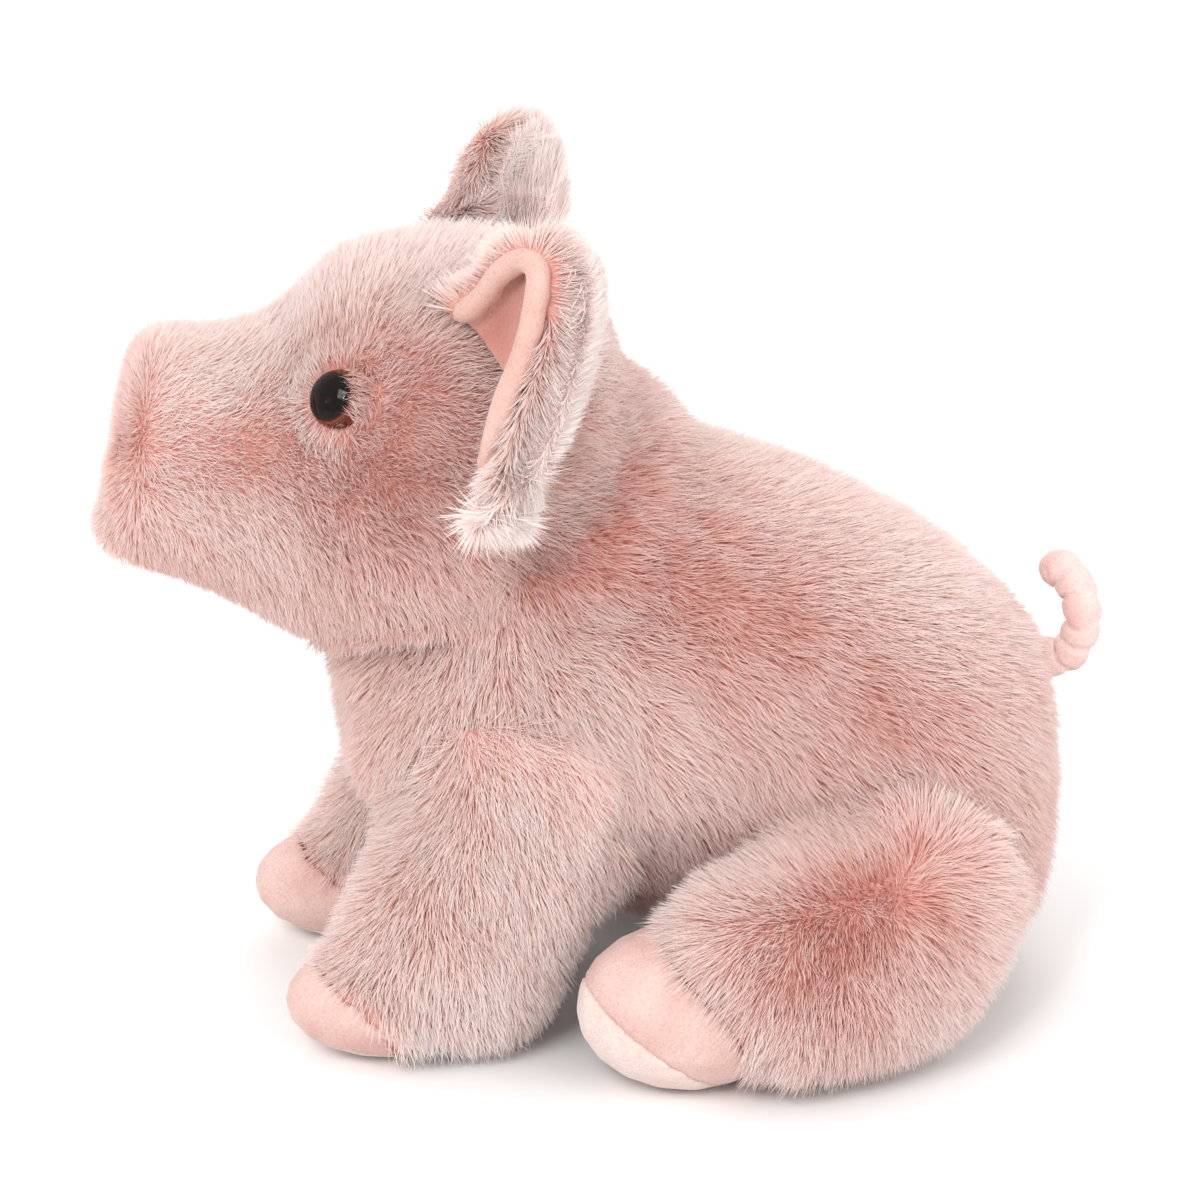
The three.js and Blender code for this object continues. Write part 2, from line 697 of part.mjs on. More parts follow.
// The half space under a hoof's seam, lowered or raised by a gap
function underSeam(hoof, y, gap) {
  const size = hoof.length + hoof.width;
  const block = new THREE.BoxGeometry(2 * size, size, size);
  block.translate(0, 0, gap - size / 2);
  block.rotateY(THREE.MathUtils.degToRad(hoof.tilt));
  block.translate(hoof.tip + hoof.length / 2, y, hoof.seam);
  return toManifold(block);
}

function addLimb(kind, sideName, form, swing, hoof, hoofY) {
  const limb = mainPiece(swungClear(toManifold(form), [torsoForm, neck], swing).subtract(floor));
  const cap = toManifold(hoofForm(hoof, hoofY)).subtract(toManifold(grown(form, SEAM_GAP))).subtract(floor);
  add(`${kind}_leg_${sideName}`, limb, FUR);
  add(`${kind}_hoof_${sideName}`, mainPiece(cap.subtract(underSeam(hoof, hoofY, SEAM_GAP / 2))), SMOOTH);
  add(`${kind}_sole_${sideName}`, mainPiece(cap.intersect(underSeam(hoof, hoofY, -SEAM_GAP / 2))), SOLE);
}

// Tail

function tailForm() {
  const points = TAIL_SHARES.map(
    ([back, aside, up]) =>
      new THREE.Vector3(
        TAIL_ROOT.back + back * TAIL_HEIGHT,
        aside * TAIL_HEIGHT,
        TAIL_ROOT.up + up * TAIL_HEIGHT,
      ),
  );
  const path = new THREE.CatmullRomCurve3(points);
  const frames = path.computeFrenetFrames(TAIL_STEPS, false);
  const rings = [];
  for (let step = 0; step <= TAIL_STEPS; step += 1) {
    const share = step / TAIL_STEPS;
    const widen = Math.max(0, 1 - share / TAIL_ROOT_SHARE);
    const narrow = Math.max(0, (share - 1) / TAIL_TIP_SHARE + 1);
    const close = Math.max(TAIL_END_SHARE, Math.sqrt(1 - narrow * narrow));
    const radius = ((TAIL_DIAMETER + (TAIL_ROOT_DIAMETER - TAIL_DIAMETER) * widen) / 2) * close;
    const centre = path.getPointAt(share);
    const ring = [];
    for (let turn = 0; turn < TAIL_AROUND; turn += 1) {
      const angle = (2 * Math.PI * turn) / TAIL_AROUND;
      const point = centre.clone().addScaledVector(frames.normals[step], radius * Math.cos(angle));
      ring.push(point.addScaledVector(frames.binormals[step], radius * Math.sin(angle)));
    }
    rings.push(ring);
  }
  const tip = path.getPointAt(1).addScaledVector(path.getTangentAt(1), (TAIL_END_SHARE * TAIL_DIAMETER) / 2);
  return loft(rings, path.getPointAt(0), tip);
}

// Assembly

function earSwing(side) {
  const pivot = [EAR_ROOT.back, side * EAR_ROOT.out, EAR_ROOT.up];
  return { pivot, axis: X.clone().multiplyScalar(side), ...EAR_SWING };
}

function armSwing(sideName) {
  const out = SIDES[sideName] * ARM_SPREAD[sideName];
  return { ...SHOULDER, pivot: [SHOULDER.back, out, SHOULDER.up], axis: Y };
}

function hipSwing(side) {
  return { ...HIP, pivot: [HIP.back, side * THIGH_SPREAD, HIP.up], axis: Y };
}

const tailSwing = { ...TAIL_SWING, pivot: [TAIL_SWING.back, 0, TAIL_ROOT.up], axis: Z };

add('body', torso, FUR);

let nose = toManifold(headForm).intersect(noseBlock(NOSE_THICKNESS - SEAM_GAP));
let head = toManifold(headForm).subtract(noseBlock(NOSE_THICKNESS)).add(chinForm());
head = head.subtract(toManifold(grown(neck, SEAM_GAP + neckSag)));
head = swungClear(head, [torsoForm], NECK_SWING);
const eyes = {};
for (const [sideName, side] of Object.entries(SIDES)) {
  eyes[sideName] = eyeFrame(side);
  head = head.subtract(eyePocket(eyes[sideName]));
  nose = nose.subtract(nostrilForm(side, SEAM_GAP));
}
add('head', mainPiece(head), FUR);
add('nose_panel', mainPiece(nose), FUR);

for (const [sideName, side] of Object.entries(SIDES)) {
  add(`nostril_${sideName}`, nostrilForm(side, 0), THREAD);
  add(`eye_lens_${sideName}`, eyeLens(eyes[sideName]), AMBER);
  add(`eye_back_${sideName}`, eyeBack(eyes[sideName]), BLACK);
  add(`eye_washer_${sideName}`, eyeWasher(eyes[sideName]), NYLON);

  const pile = toManifold(earBack(side)).subtract(toManifold(earLining(side, SEAM_GAP / 2)));
  const back = swungClear(pile, [headForm], earSwing(side));
  const lining = swungClear(toManifold(earLining(side, 0)), [headForm], earSwing(side));
  add(`ear_back_${sideName}`, mainPiece(back), EAR_FUR);
  add(`ear_lining_${sideName}`, mainPiece(lining), LINING);

  const frontHoof = { ...FRONT_HOOF, tip: FRONT_HOOF.tip - FRONT_HOOF_REACH[sideName] };
  addLimb('front', sideName, armForm(sideName), armSwing(sideName), frontHoof, side * ARM_SPREAD[sideName]);
  addLimb('hind', sideName, thighForm(side), hipSwing(side), HIND_HOOF, side * HIND_HOOF_SPREAD);
}

add('tail', mainPiece(swungClear(toManifold(tailForm()), [torsoForm], tailSwing)), SMOOTH);

// Stand the piglet on z = 0 with the middle of its box over the origin
const box = new THREE.Box3().setFromObject(group);
const middle = box.getCenter(new THREE.Vector3());
group.position.set(-middle.x, -middle.y, -box.min.z);
group.updateMatrixWorld(true);

export default group;
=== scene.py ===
"""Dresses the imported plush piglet: stuffed skins with their fur pile, plush hooves, eyes, ears and tail."""

import json
import logging
import math
from dataclasses import dataclass, field
from enum import Enum

import bmesh
import bpy
import numpy as np
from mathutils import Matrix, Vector
from mathutils.bvhtree import BVHTree

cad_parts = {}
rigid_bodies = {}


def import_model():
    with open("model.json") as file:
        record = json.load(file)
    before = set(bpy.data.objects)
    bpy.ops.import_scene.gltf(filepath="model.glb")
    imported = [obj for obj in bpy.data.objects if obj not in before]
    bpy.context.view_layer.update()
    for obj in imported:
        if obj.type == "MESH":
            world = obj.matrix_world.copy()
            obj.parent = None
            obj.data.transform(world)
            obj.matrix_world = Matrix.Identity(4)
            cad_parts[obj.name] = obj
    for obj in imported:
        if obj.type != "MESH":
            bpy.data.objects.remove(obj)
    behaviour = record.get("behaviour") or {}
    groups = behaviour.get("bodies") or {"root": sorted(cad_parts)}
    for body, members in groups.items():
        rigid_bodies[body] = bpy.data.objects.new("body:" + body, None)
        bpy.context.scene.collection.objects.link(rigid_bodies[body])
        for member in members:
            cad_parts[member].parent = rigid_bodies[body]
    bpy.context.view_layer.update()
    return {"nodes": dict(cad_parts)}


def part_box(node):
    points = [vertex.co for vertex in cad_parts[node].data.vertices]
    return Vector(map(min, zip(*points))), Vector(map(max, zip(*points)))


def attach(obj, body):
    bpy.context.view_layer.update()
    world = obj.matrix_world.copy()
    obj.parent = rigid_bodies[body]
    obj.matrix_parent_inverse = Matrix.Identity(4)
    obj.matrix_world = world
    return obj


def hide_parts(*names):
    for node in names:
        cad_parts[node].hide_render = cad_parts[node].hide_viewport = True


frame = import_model()

LOG = logging.getLogger("piglet")
MM = 0.001
FLOOR_GAP = 0.3 * MM
LEFT, RIGHT = -1, 1
SIDES = {"left": LEFT, "right": RIGHT}
QUICK_SHARE = 1.0
PUFF_FRAMES = 20
STRAND_MAP = "OFBake"
Colour = tuple[float, float, float]
Place = tuple[float, float, float]
Span = tuple[float, float]
Faces = list[tuple[int, ...]]
Array = np.ndarray


# Numbers and fields


def srgb(red: int, green: int, blue: int) -> Colour:
    """Turns a screen colour of 0 to 255 into the linear colour that a material takes."""
    shares = (part / 255 for part in (red, green, blue))
    return tuple(((share + 0.055) / 1.055) ** 2.4 if share > 0.04 else share / 12.92 for share in shares)


def smooth(low: float, high: float, value: Array) -> Array:
    """Rises smoothly from 0 at low to 1 at high."""
    t = np.clip((value - low) / (high - low), 0, 1)
    return t * t * (3 - 2 * t)


def unit(vectors: Array) -> Array:
    """Scales each row to length 1."""
    return vectors / np.maximum(np.linalg.norm(vectors, axis=1, keepdims=True), 1e-12)


@dataclass(frozen=True)
class Patch:
    """A soft round patch of pile on the left side, and its mirror image on the right."""

    centre: Place
    radius: float
    depth: float = 1.0

    def near(self, co: Array, radius: float) -> Array:
        """How near the points are to the centre.

        Args:
            co: points, one a row.
            radius: where the patch has faded out.

        Returns:
            1 at the centre, falling to 0 at the radius.
        """
        mirrored = np.column_stack([co[:, 0], -np.abs(co[:, 1]), co[:, 2]])
        return 1 - smooth(0, radius, np.linalg.norm(mirrored - np.array(self.centre), axis=1))

    def at(self, co: Array) -> Array:
        """The patch's depth at each point, faded out at its own radius."""
        return self.depth * self.near(co, self.radius)


class Waves:
    """Smooth seeded noise made of a few crossing waves, the same on every run."""

    def __init__(self, seed: int, length: float, count: int = 9) -> None:
        """Draws the waves.

        Args:
            seed: the seed of the draw.
            length: about how long a wave is, in metres.
            count: how many waves are added up.
        """
        draw = np.random.RandomState(seed)
        directions = unit(draw.normal(size=(count, 3)))
        self.turns = directions * draw.uniform(0.6, 1.5, (count, 1)) * (2 * math.pi / length)
        self.phases = draw.uniform(0, 2 * math.pi, count)

    def at(self, co: Array) -> Array:
        """The noise at each point, about -1 to 1."""
        return np.sin(co @ self.turns.T + self.phases).sum(1) / math.sqrt(len(self.phases) * 2)


# Meshes


def mesh_object(name: str, vertices: Array | list[Array], faces: Faces) -> bpy.types.Object:
    """Makes a mesh object at the origin.

    Args:
        name: the object's name.
        vertices: its points, one a row.
        faces: the point numbers of each face.

    Returns:
        The object.
    """
    mesh = bpy.data.meshes.new(name)
    mesh.from_pydata([tuple(vertex) for vertex in vertices], [], faces)
    mesh.update()
    piece = bpy.data.objects.new(name, mesh)
    bpy.context.scene.collection.objects.link(piece)
    return piece


def outward(piece: bpy.types.Object) -> None:
    """Turns a closed mesh's faces outward.

    Args:
        piece: the mesh object.
    """
    whole = bmesh.new()
    whole.from_mesh(piece.data)
    bmesh.ops.recalc_face_normals(whole, faces=whole.faces)
    whole.to_mesh(piece.data)
    whole.free()
    piece.data.update()


def points_of(piece: bpy.types.Object) -> Array:
    """The vertices of a mesh, one a row.

    Args:
        piece: the mesh object.

    Returns:
        The points.
    """
    co = np.empty(len(piece.data.vertices) * 3)
    piece.data.vertices.foreach_get("co", co)
    return co.reshape(-1, 3)


def normals_of(piece: bpy.types.Object) -> Array:
    """The vertex normals of a mesh, one a row.

    Args:
        piece: the mesh object.

    Returns:
        The normals.
    """
    normals = np.empty(len(piece.data.vertices) * 3)
    piece.data.vertex_normals.foreach_get("vector", normals)
    return normals.reshape(-1, 3)


def move_points(piece: bpy.types.Object, co: Array) -> None:
    """Moves the vertices of a mesh to new places."""
    piece.data.vertices.foreach_set("co", co.ravel())
    piece.data.update()


def edges_of(piece: bpy.types.Object) -> Array:
    """The vertex pairs of a mesh's edges, one a row.

    Args:
        piece: the mesh object.

    Returns:
        The pairs of point numbers.
    """
    pairs = np.empty(len(piece.data.edges) * 2, int)
    piece.data.edges.foreach_get("vertices", pairs)
    return pairs.reshape(-1, 2)


def averaged(values: Array, edges: Array, rounds: int, share: float = 0.5) -> Array:
    """Evens out a value or vector held at each vertex with those of its neighbours.

    Args:
        values: one row a vertex.
        edges: vertex pairs.
        rounds: how often to even out.
        share: how far each round goes toward the neighbours' mean.

    Returns:
        The evened values.
    """
    values = np.array(values, float)
    flat = values.ndim == 1
    work = values[:, None] if flat else values
    count = np.bincount(edges.ravel(), minlength=len(work))[:, None]
    for _ in range(rounds):
        total = np.zeros_like(work)
        for column in range(work.shape[1]):
            total[:, column] += np.bincount(edges[:, 0], work[edges[:, 1], column], len(work))
            total[:, column] += np.bincount(edges[:, 1], work[edges[:, 0], column], len(work))
        work = work + share * (total / np.maximum(count, 1) - work)
    return work[:, 0] if flat else work


def relaxed(piece: bpy.types.Object, rounds: int) -> None:
    """Smooths a mesh without shrinking it, by a step in and a step out each round.

    Args:
        piece: the mesh object.
        rounds: how often it is smoothed.
    """
    edges = edges_of(piece)
    co = points_of(piece)
    for _ in range(rounds):
        co = averaged(co, edges, 1, 0.5)
        co = averaged(co, edges, 1, -0.52)
    move_points(piece, co)


def merged_copy(name: str, nodes: tuple[str, ...]) -> bpy.types.Object:
    """Copies CAD nodes into one new mesh with their loose triangles merged.

    Args:
        name: the copy's name.
        nodes: the names of the CAD nodes.

    Returns:
        The copy.
    """
    whole = bmesh.new()
    for node in nodes:
        whole.from_mesh(frame["nodes"][node].data)
    bmesh.ops.remove_doubles(whole, verts=whole.verts, dist=1e-6)
    mesh = bpy.data.meshes.new(name)
    whole.to_mesh(mesh)
    whole.free()
    piece = bpy.data.objects.new(name, mesh)
    bpy.context.scene.collection.objects.link(piece)
    return piece


def curve_through(co: Array, count: int) -> Array:
    """Evenly spaced points on a smooth curve through the given points.

    Args:
        co: the points to pass through.
        count: how many points to return.

    Returns:
        The points of the curve.
    """
    ends = np.vstack([2 * co[0] - co[1], co, 2 * co[-1] - co[-2]])
    dense = []
    for k in range(1, len(ends) - 2):
        before, start, stop, after = ends[k - 1 : k + 3]
        t = np.linspace(0, 1, 40, endpoint=False)[:, None]
        bend = 2 * before - 5 * start + 4 * stop - after
        twist = 3 * start - before - 3 * stop + after
        dense.append(0.5 * (2 * start + (stop - before) * t + bend * t**2 + twist * t**3))
    dense = np.vstack([*dense, ends[-2]])
    run = np.concatenate([[0], np.cumsum(np.linalg.norm(np.diff(dense, axis=0), axis=1))])
    want = np.linspace(0, run[-1], count)
    return np.column_stack([np.interp(want, run, dense[:, k]) for k in range(3)])


def tube_faces(rings: int, around: int) -> Faces:
    """The faces of a closed tube, whose two end points follow the points of its rings.

    Args:
        rings: how many rings it has.
        around: how many points a ring has.

    Returns:
        The point numbers of each face.
    """
    faces = []
    for k in range(rings - 1):
        for j in range(around):
            n, a, b = (j + 1) % around, k * around, (k + 1) * around
            faces.append((a + j, a + n, b + n, b + j))
    first, last, end = rings * around, rings * around + 1, (rings - 1) * around
    faces += [(first, (j + 1) % around, j) for j in range(around)]
    faces += [(last, end + j, end + (j + 1) % around) for j in range(around)]
    return faces


def tube_object(name: str, line: Array, radii: Array, around: int) -> bpy.types.Object:
    """Makes a closed tube along a line.

    Args:
        name: the tube's name.
        line: its middle line.
        radii: its radius at each point of the line.
        around: how many sides it has.

    Returns:
        The tube.
    """
    ahead = unit(np.gradient(line, axis=0))
    aside = unit(np.cross(ahead[0], [0.1, 0.2, 1.0])[None])[0]
    rows = []
    for centre, forward, radius in zip(line, ahead, radii):
        aside = unit((aside - forward * (aside @ forward))[None])[0]
        turn = (2 * np.pi * np.arange(around) / around)[:, None]
        rows.append(centre + radius * (np.cos(turn) * aside + np.sin(turn) * np.cross(forward, aside)))
    co = np.vstack([*rows, line[0], line[-1]])
    piece = mesh_object(name, co, tube_faces(len(line), around))
    outward(piece)
    return piece


def absorb(piece: bpy.types.Object, other: bpy.types.Object) -> None:
    """Adds another piece's mesh to a piece and removes the other.

    Args:
        piece: the piece that grows.
        other: the piece that is taken in.
    """
    whole = bmesh.new()
    whole.from_mesh(piece.data)
    whole.from_mesh(other.data)
    whole.to_mesh(piece.data)
    whole.free()
    piece.data.update()
    bpy.data.objects.remove(other)


def surface_of(nodes: tuple[str, ...]) -> BVHTree:
    """Makes a search tree over the faces of some CAD nodes.

    Args:
        nodes: the names of the CAD nodes.

    Returns:
        The tree.
    """
    whole = bmesh.new()
    for node in nodes:
        whole.from_mesh(frame["nodes"][node].data)
    tree = BVHTree.FromBMesh(whole)
    whole.free()
    return tree


def distances(tree: BVHTree, co: Array) -> Array:
    """How far each point is from a surface."""
    return np.array([tree.find_nearest(Vector(p))[3] for p in co])


def nearest_gap(places: Array, co: Array) -> Array:
    """How far each point is from the nearest of some places."""
    return np.sqrt(((co[:, None] - places[None]) ** 2).sum(2).min(1))


def bake_modifiers(piece: bpy.types.Object) -> None:
    """Turns a piece's modifiers into its plain mesh.

    Args:
        piece: the piece with its modifiers.
    """
    graph = bpy.context.evaluated_depsgraph_get()
    shown = piece.evaluated_get(graph)
    done = bpy.data.meshes.new_from_object(shown, preserve_all_data_layers=True, depsgraph=graph)
    piece.modifiers.clear()
    old = piece.data
    piece.data = done
    bpy.data.meshes.remove(old)


def remeshed(piece: bpy.types.Object, voxel: float) -> None:
    """Rebuilds a mesh from even small faces, and keeps only its largest shell.

    Args:
        piece: the mesh object.
        voxel: the size of the faces.
    """
    remesh = piece.modifiers.new("remesh", "REMESH")
    remesh.mode = "VOXEL"
    remesh.voxel_size = voxel
    bake_modifiers(piece)
    keep_largest_shell(piece)


def keep_largest_shell(piece: bpy.types.Object) -> None:
    """Removes every loose part of a mesh but the one with most vertices.

    Args:
        piece: the mesh object.
    """
    edges = edges_of(piece)
    label = np.arange(len(piece.data.vertices))
    while True:
        low = label.copy()
        np.minimum.at(low, edges[:, 0], label[edges[:, 1]])
        np.minimum.at(low, edges[:, 1], label[edges[:, 0]])
        low = low[low]
        if (low == label).all():
            break
        label = low
    names, counts = np.unique(label, return_counts=True)
    if len(names) == 1:
        return
    keep = names[counts.argmax()]
    whole = bmesh.new()
    whole.from_mesh(piece.data)
    whole.verts.ensure_lookup_table()
    bmesh.ops.delete(whole, geom=[v for v in whole.verts if label[v.index] != keep], context="VERTS")
    whole.to_mesh(piece.data)
    whole.free()
    piece.data.update()


def puffed(piece: bpy.types.Object, cap: float, pressure: float = 4.0) -> None:
    """Fills a stuffed form by a short cloth simulation under pressure, and caps how far a point moves.

    Args:
        piece: a closed mesh.
        cap: the most that a point may move.
        pressure: the pressure inside.
    """
    start = points_of(piece)
    scene = bpy.context.scene
    scene.frame_set(1)
    cloth = piece.modifiers.new("stuffing", "CLOTH")
    cloth.settings.use_pressure = True
    cloth.settings.uniform_pressure_force = pressure
    cloth.settings.effector_weights.gravity = 0
    cloth.settings.quality = 4
    cloth.collision_settings.use_collision = False
    cloth.point_cache.frame_start = 1
    cloth.point_cache.frame_end = PUFF_FRAMES
    for step in range(1, PUFF_FRAMES + 1):
        scene.frame_set(step)
    bake_modifiers(piece)
    scene.frame_set(1)
    moved = points_of(piece) - start
    far = np.linalg.norm(moved, axis=1, keepdims=True)
    moved *= np.minimum(1, cap / np.maximum(far, 1e-9))
    move_points(piece, start + averaged(moved, edges_of(piece), 2))


# Finishes


class Nodes:
    """A short way to write a material's node tree."""

    def __init__(self, name: str) -> None:
        """Starts a material with a Principled shader.

        Args:
            name: the material's name.
        """
        self.material = bpy.data.materials.new(name)
        self.material.use_nodes = True
        self.tree = self.material.node_tree
        self.shader = self.tree.nodes["Principled BSDF"]

    def add(self, kind: str, inputs: dict | None = None, **settings) -> bpy.types.Node:
        """Adds a node.

        Args:
            kind: the node's type name.
            inputs: values or output sockets by input name or number.
            settings: the node's own settings.

        Returns:
            The node.
        """
        node = self.tree.nodes.new(kind)
        for key, value in settings.items():
            setattr(node, key, value)
        for key, value in (inputs or {}).items():
            self.put(node.inputs[key], value)
        return node

    def put(self, socket: bpy.types.NodeSocket, value: object) -> None:
        """Sets a socket, or links it where the value is an output.

        Args:
            socket: the socket to set.
            value: a number, a colour or an output socket.
        """
        if isinstance(value, bpy.types.NodeSocket):
            self.tree.links.new(value, socket)
        elif isinstance(value, tuple) and len(value) == 3 and socket.type == "RGBA":
            socket.default_value = (*value, 1)
        else:
            socket.default_value = value

    def set(self, **values) -> None:
        """Sets the shader's sockets, whose names have underscores for spaces."""
        for key, value in values.items():
            self.put(self.shader.inputs[key.replace("_", " ")], value)

    def ramp(self, fac: bpy.types.NodeSocket, stops: list[tuple[float, Colour]]) -> bpy.types.NodeSocket:
        """Adds a colour ramp over a value.

        Args:
            fac: the value.
            stops: the place and colour of each stop.

        Returns:
            The colour.
        """
        node = self.add("ShaderNodeValToRGB", {"Fac": fac})
        elements = node.color_ramp.elements
        while len(elements) < len(stops):
            elements.new(0.5)
        for element, (place, colour) in zip(elements, stops):
            element.position = place
            element.color = (*colour, 1)
        return node.outputs["Color"]

    def mix(self, fac: object, first: object, second: object, blend: str = "MIX") -> bpy.types.NodeSocket:
        """Mixes two colours.

        Args:
            fac: the share of the second colour.
            first: the first colour or its socket.
            second: the second colour or its socket.
            blend: how they are mixed.

        Returns:
            The mixed colour.
        """
        node = self.add("ShaderNodeMix", data_type="RGBA", blend_type=blend)
        self.put(node.inputs[0], fac)
        self.put(node.inputs[6], first)
        self.put(node.inputs[7], second)
        return node.outputs[2]

    def noise(self, scale: float, detail: float = 3, roughness: float = 0.5) -> bpy.types.NodeSocket:
        """Adds noise on the object's own coordinates.

        Args:
            scale: how many waves go to a metre.
            detail: how many finer layers it has.
            roughness: how strong the finer layers are.

        Returns:
            The noise's value.
        """
        where = self.add("ShaderNodeTexCoord").outputs["Object"]
        inputs = {"Vector": where, "Scale": scale, "Detail": detail, "Roughness": roughness}
        return self.add("ShaderNodeTexNoise", inputs).outputs["Fac"]

    def bump(self, height: bpy.types.NodeSocket, distance: float, strength: float = 1.0) -> None:
        """Bumps the shader's normal by a height."""
        node = self.add("ShaderNodeBump", {"Height": height, "Distance": distance, "Strength": strength})
        self.set(Normal=node.outputs["Normal"])


@dataclass(frozen=True)
class PileFinish:
    """Frosted fur: each strand runs from a dusky root to a pale tip, and some stand paler than others."""

    name: str = "frosted_pile"
    deep: tuple[Colour, Colour, Colour] = (srgb(214, 132, 117), srgb(240, 185, 173), srgb(253, 226, 219))
    pale: tuple[Colour, Colour, Colour] = (srgb(253, 222, 214), srgb(255, 240, 235), srgb(255, 250, 248))
    roughness: float = 0.75
    sheen: float = 0.08

    def build(self) -> bpy.types.Material:
        """Builds the material, which reads tint and place along the strand from the strand's own map.

        Returns:
            The material.
        """
        nodes = Nodes(self.name)
        where = nodes.add("ShaderNodeUVMap", uv_map=STRAND_MAP).outputs["UV"]
        split = nodes.add("ShaderNodeSeparateXYZ", {"Vector": where})
        tint, along = split.outputs["X"], split.outputs["Y"]
        deep = nodes.ramp(along, list(zip((0.0, 0.5, 1.0), self.deep)))
        pale = nodes.ramp(along, list(zip((0.0, 0.5, 1.0), self.pale)))
        nodes.set(Base_Color=nodes.mix(tint, deep, pale), Roughness=self.roughness)
        nodes.set(Sheen_Weight=self.sheen, Sheen_Roughness=0.4, Specular_IOR_Level=0.12)
        return nodes.material


@dataclass(frozen=True)
class BackingFinish:
    """The knitted ground cloth that the pile grows from."""

    name: str = "backing_cloth"
    thread: Colour = srgb(228, 172, 160)
    gap: Colour = srgb(212, 148, 135)
    scale: float = 900

    def build(self) -> bpy.types.Material:
        """Builds the material from fine noise on the object's coordinates.

        Returns:
            The material.
        """
        nodes = Nodes(self.name)
        grain = nodes.noise(self.scale, 2)
        nodes.set(Base_Color=nodes.ramp(grain, [(0.35, self.gap), (0.65, self.thread)]), Roughness=0.9)
        nodes.bump(grain, 0.0003, 0.6)
        return nodes.material


@dataclass(frozen=True)
class NapFinish:
    """Short smooth plush, whose nap catches light unevenly where it was stroked."""

    name: str
    colour: Colour
    shade: Colour
    bloom: Colour
    nap_scale: float = 1300
    stroke_scale: float = 55
    sheen: float = 0.45
    # painted shade: the colour that darkens a hollow, where the mesh marks one
    hollow_shade: Colour = (0.8, 0.52, 0.47)

    def build(self) -> bpy.types.Material:
        """Builds the material: nap grain, soft stroked patches, painted shade in a marked hollow and a fine
        bump.

        Returns:
            The material.
        """
        nodes = Nodes(self.name)
        grain = nodes.noise(self.nap_scale, 3, 0.6)
        stroke = nodes.noise(self.stroke_scale, 2)
        base = nodes.ramp(stroke, [(0.3, self.shade), (0.5, self.colour), (0.72, self.bloom)])
        fine = nodes.ramp(grain, [(0.3, (0.84, 0.8, 0.79)), (0.55, (1, 1, 1))])
        nap = nodes.mix(1.0, base, fine, "MULTIPLY")
        # painted shade in the hollow, by the mesh's own mark
        deep = nodes.mix(1.0, nap, self.hollow_shade, "MULTIPLY")
        inside = nodes.add("ShaderNodeAttribute", attribute_name="hollow_shade").outputs["Fac"]
        nodes.set(Base_Color=nodes.mix(inside, nap, deep), Roughness=0.8)
        nodes.set(Sheen_Weight=self.sheen, Sheen_Roughness=0.35, Specular_IOR_Level=0.2)
        nodes.bump(grain, 0.0004, 0.7)
        return nodes.material


@dataclass(frozen=True)
class ThreadFinish:
    """Embroidery thread with a soft lustre and its twist."""

    name: str = "nostril_thread"
    colour: Colour = srgb(176, 104, 98)
    shade: Colour = srgb(142, 76, 72)
    twist_scale: float = 2600
    roughness: float = 0.5

    def build(self) -> bpy.types.Material:
        """Builds the material with a fine twisted grain.

        Returns:
            The material.
        """
        nodes = Nodes(self.name)
        twist = nodes.noise(self.twist_scale, 2)
        nodes.set(Base_Color=nodes.ramp(twist, [(0.4, self.shade), (0.6, self.colour)]))
        nodes.set(Roughness=self.roughness, Sheen_Weight=0.2, Specular_IOR_Level=0.4)
        nodes.bump(twist, 0.0001, 0.5)
        return nodes.material


@dataclass(frozen=True)
class DomeFinish:
    """The clear amber plastic of an eye's dome."""

    name: str = "amber_dome"
    colour: Colour = srgb(138, 74, 50)
    bend: float = 1.3
    marks_scale: float = 400

    def build(self) -> bpy.types.Material:
        """Builds clear plastic with faint polishing marks in its gloss.

        Returns:
            The material.
        """
        nodes = Nodes(self.name)
        marks = nodes.noise(self.marks_scale, 2)
        gloss = nodes.add("ShaderNodeMapRange", {"Value": marks, "To Min": 0.01, "To Max": 0.05})
        tint = nodes.ramp(marks, [(0.2, self.colour), (0.8, tuple(c * 0.96 for c in self.colour))])
        nodes.set(Base_Color=tint, Roughness=gloss.outputs["Result"], Transmission_Weight=1.0)
        nodes.set(IOR=self.bend, Specular_IOR_Level=0.22)
        return nodes.material


@dataclass(frozen=True)
class IrisFinish:
    """The painted back of an eye: a black pupil in a brown ring, out to the rim of its own map."""

    name: str = "painted_iris"
    pupil: Colour = srgb(12, 8, 8)
    ring: Colour = srgb(74, 30, 20)
    rim: Colour = srgb(34, 12, 8)
    pupil_share: float = 0.7
    fleck_scale: float = 1500
    roughness: float = 0.25

    def build(self) -> bpy.types.Material:
        """Builds the paint from the map's height, which runs from the centre out.

        Returns:
            The material.
        """
        nodes = Nodes(self.name)
        where = nodes.add("ShaderNodeUVMap", uv_map="reach").outputs["UV"]
        out = nodes.add("ShaderNodeSeparateXYZ", {"Vector": where}).outputs["X"]
        edge = self.pupil_share
        stops = [(0.0, self.pupil), (edge, self.pupil), (edge + 0.05, self.ring), (0.93, self.ring)]
        fleck = nodes.ramp(nodes.noise(self.fleck_scale, 3), [(0.3, (0.75, 0.7, 0.7)), (0.7, (1, 1, 1))])
        paint = nodes.ramp(out, [*stops, (1.0, self.rim)])
        nodes.set(Base_Color=nodes.mix(1.0, paint, fleck, "MULTIPLY"))
        nodes.set(Roughness=self.roughness, Specular_IOR_Level=0.05)
        return nodes.material


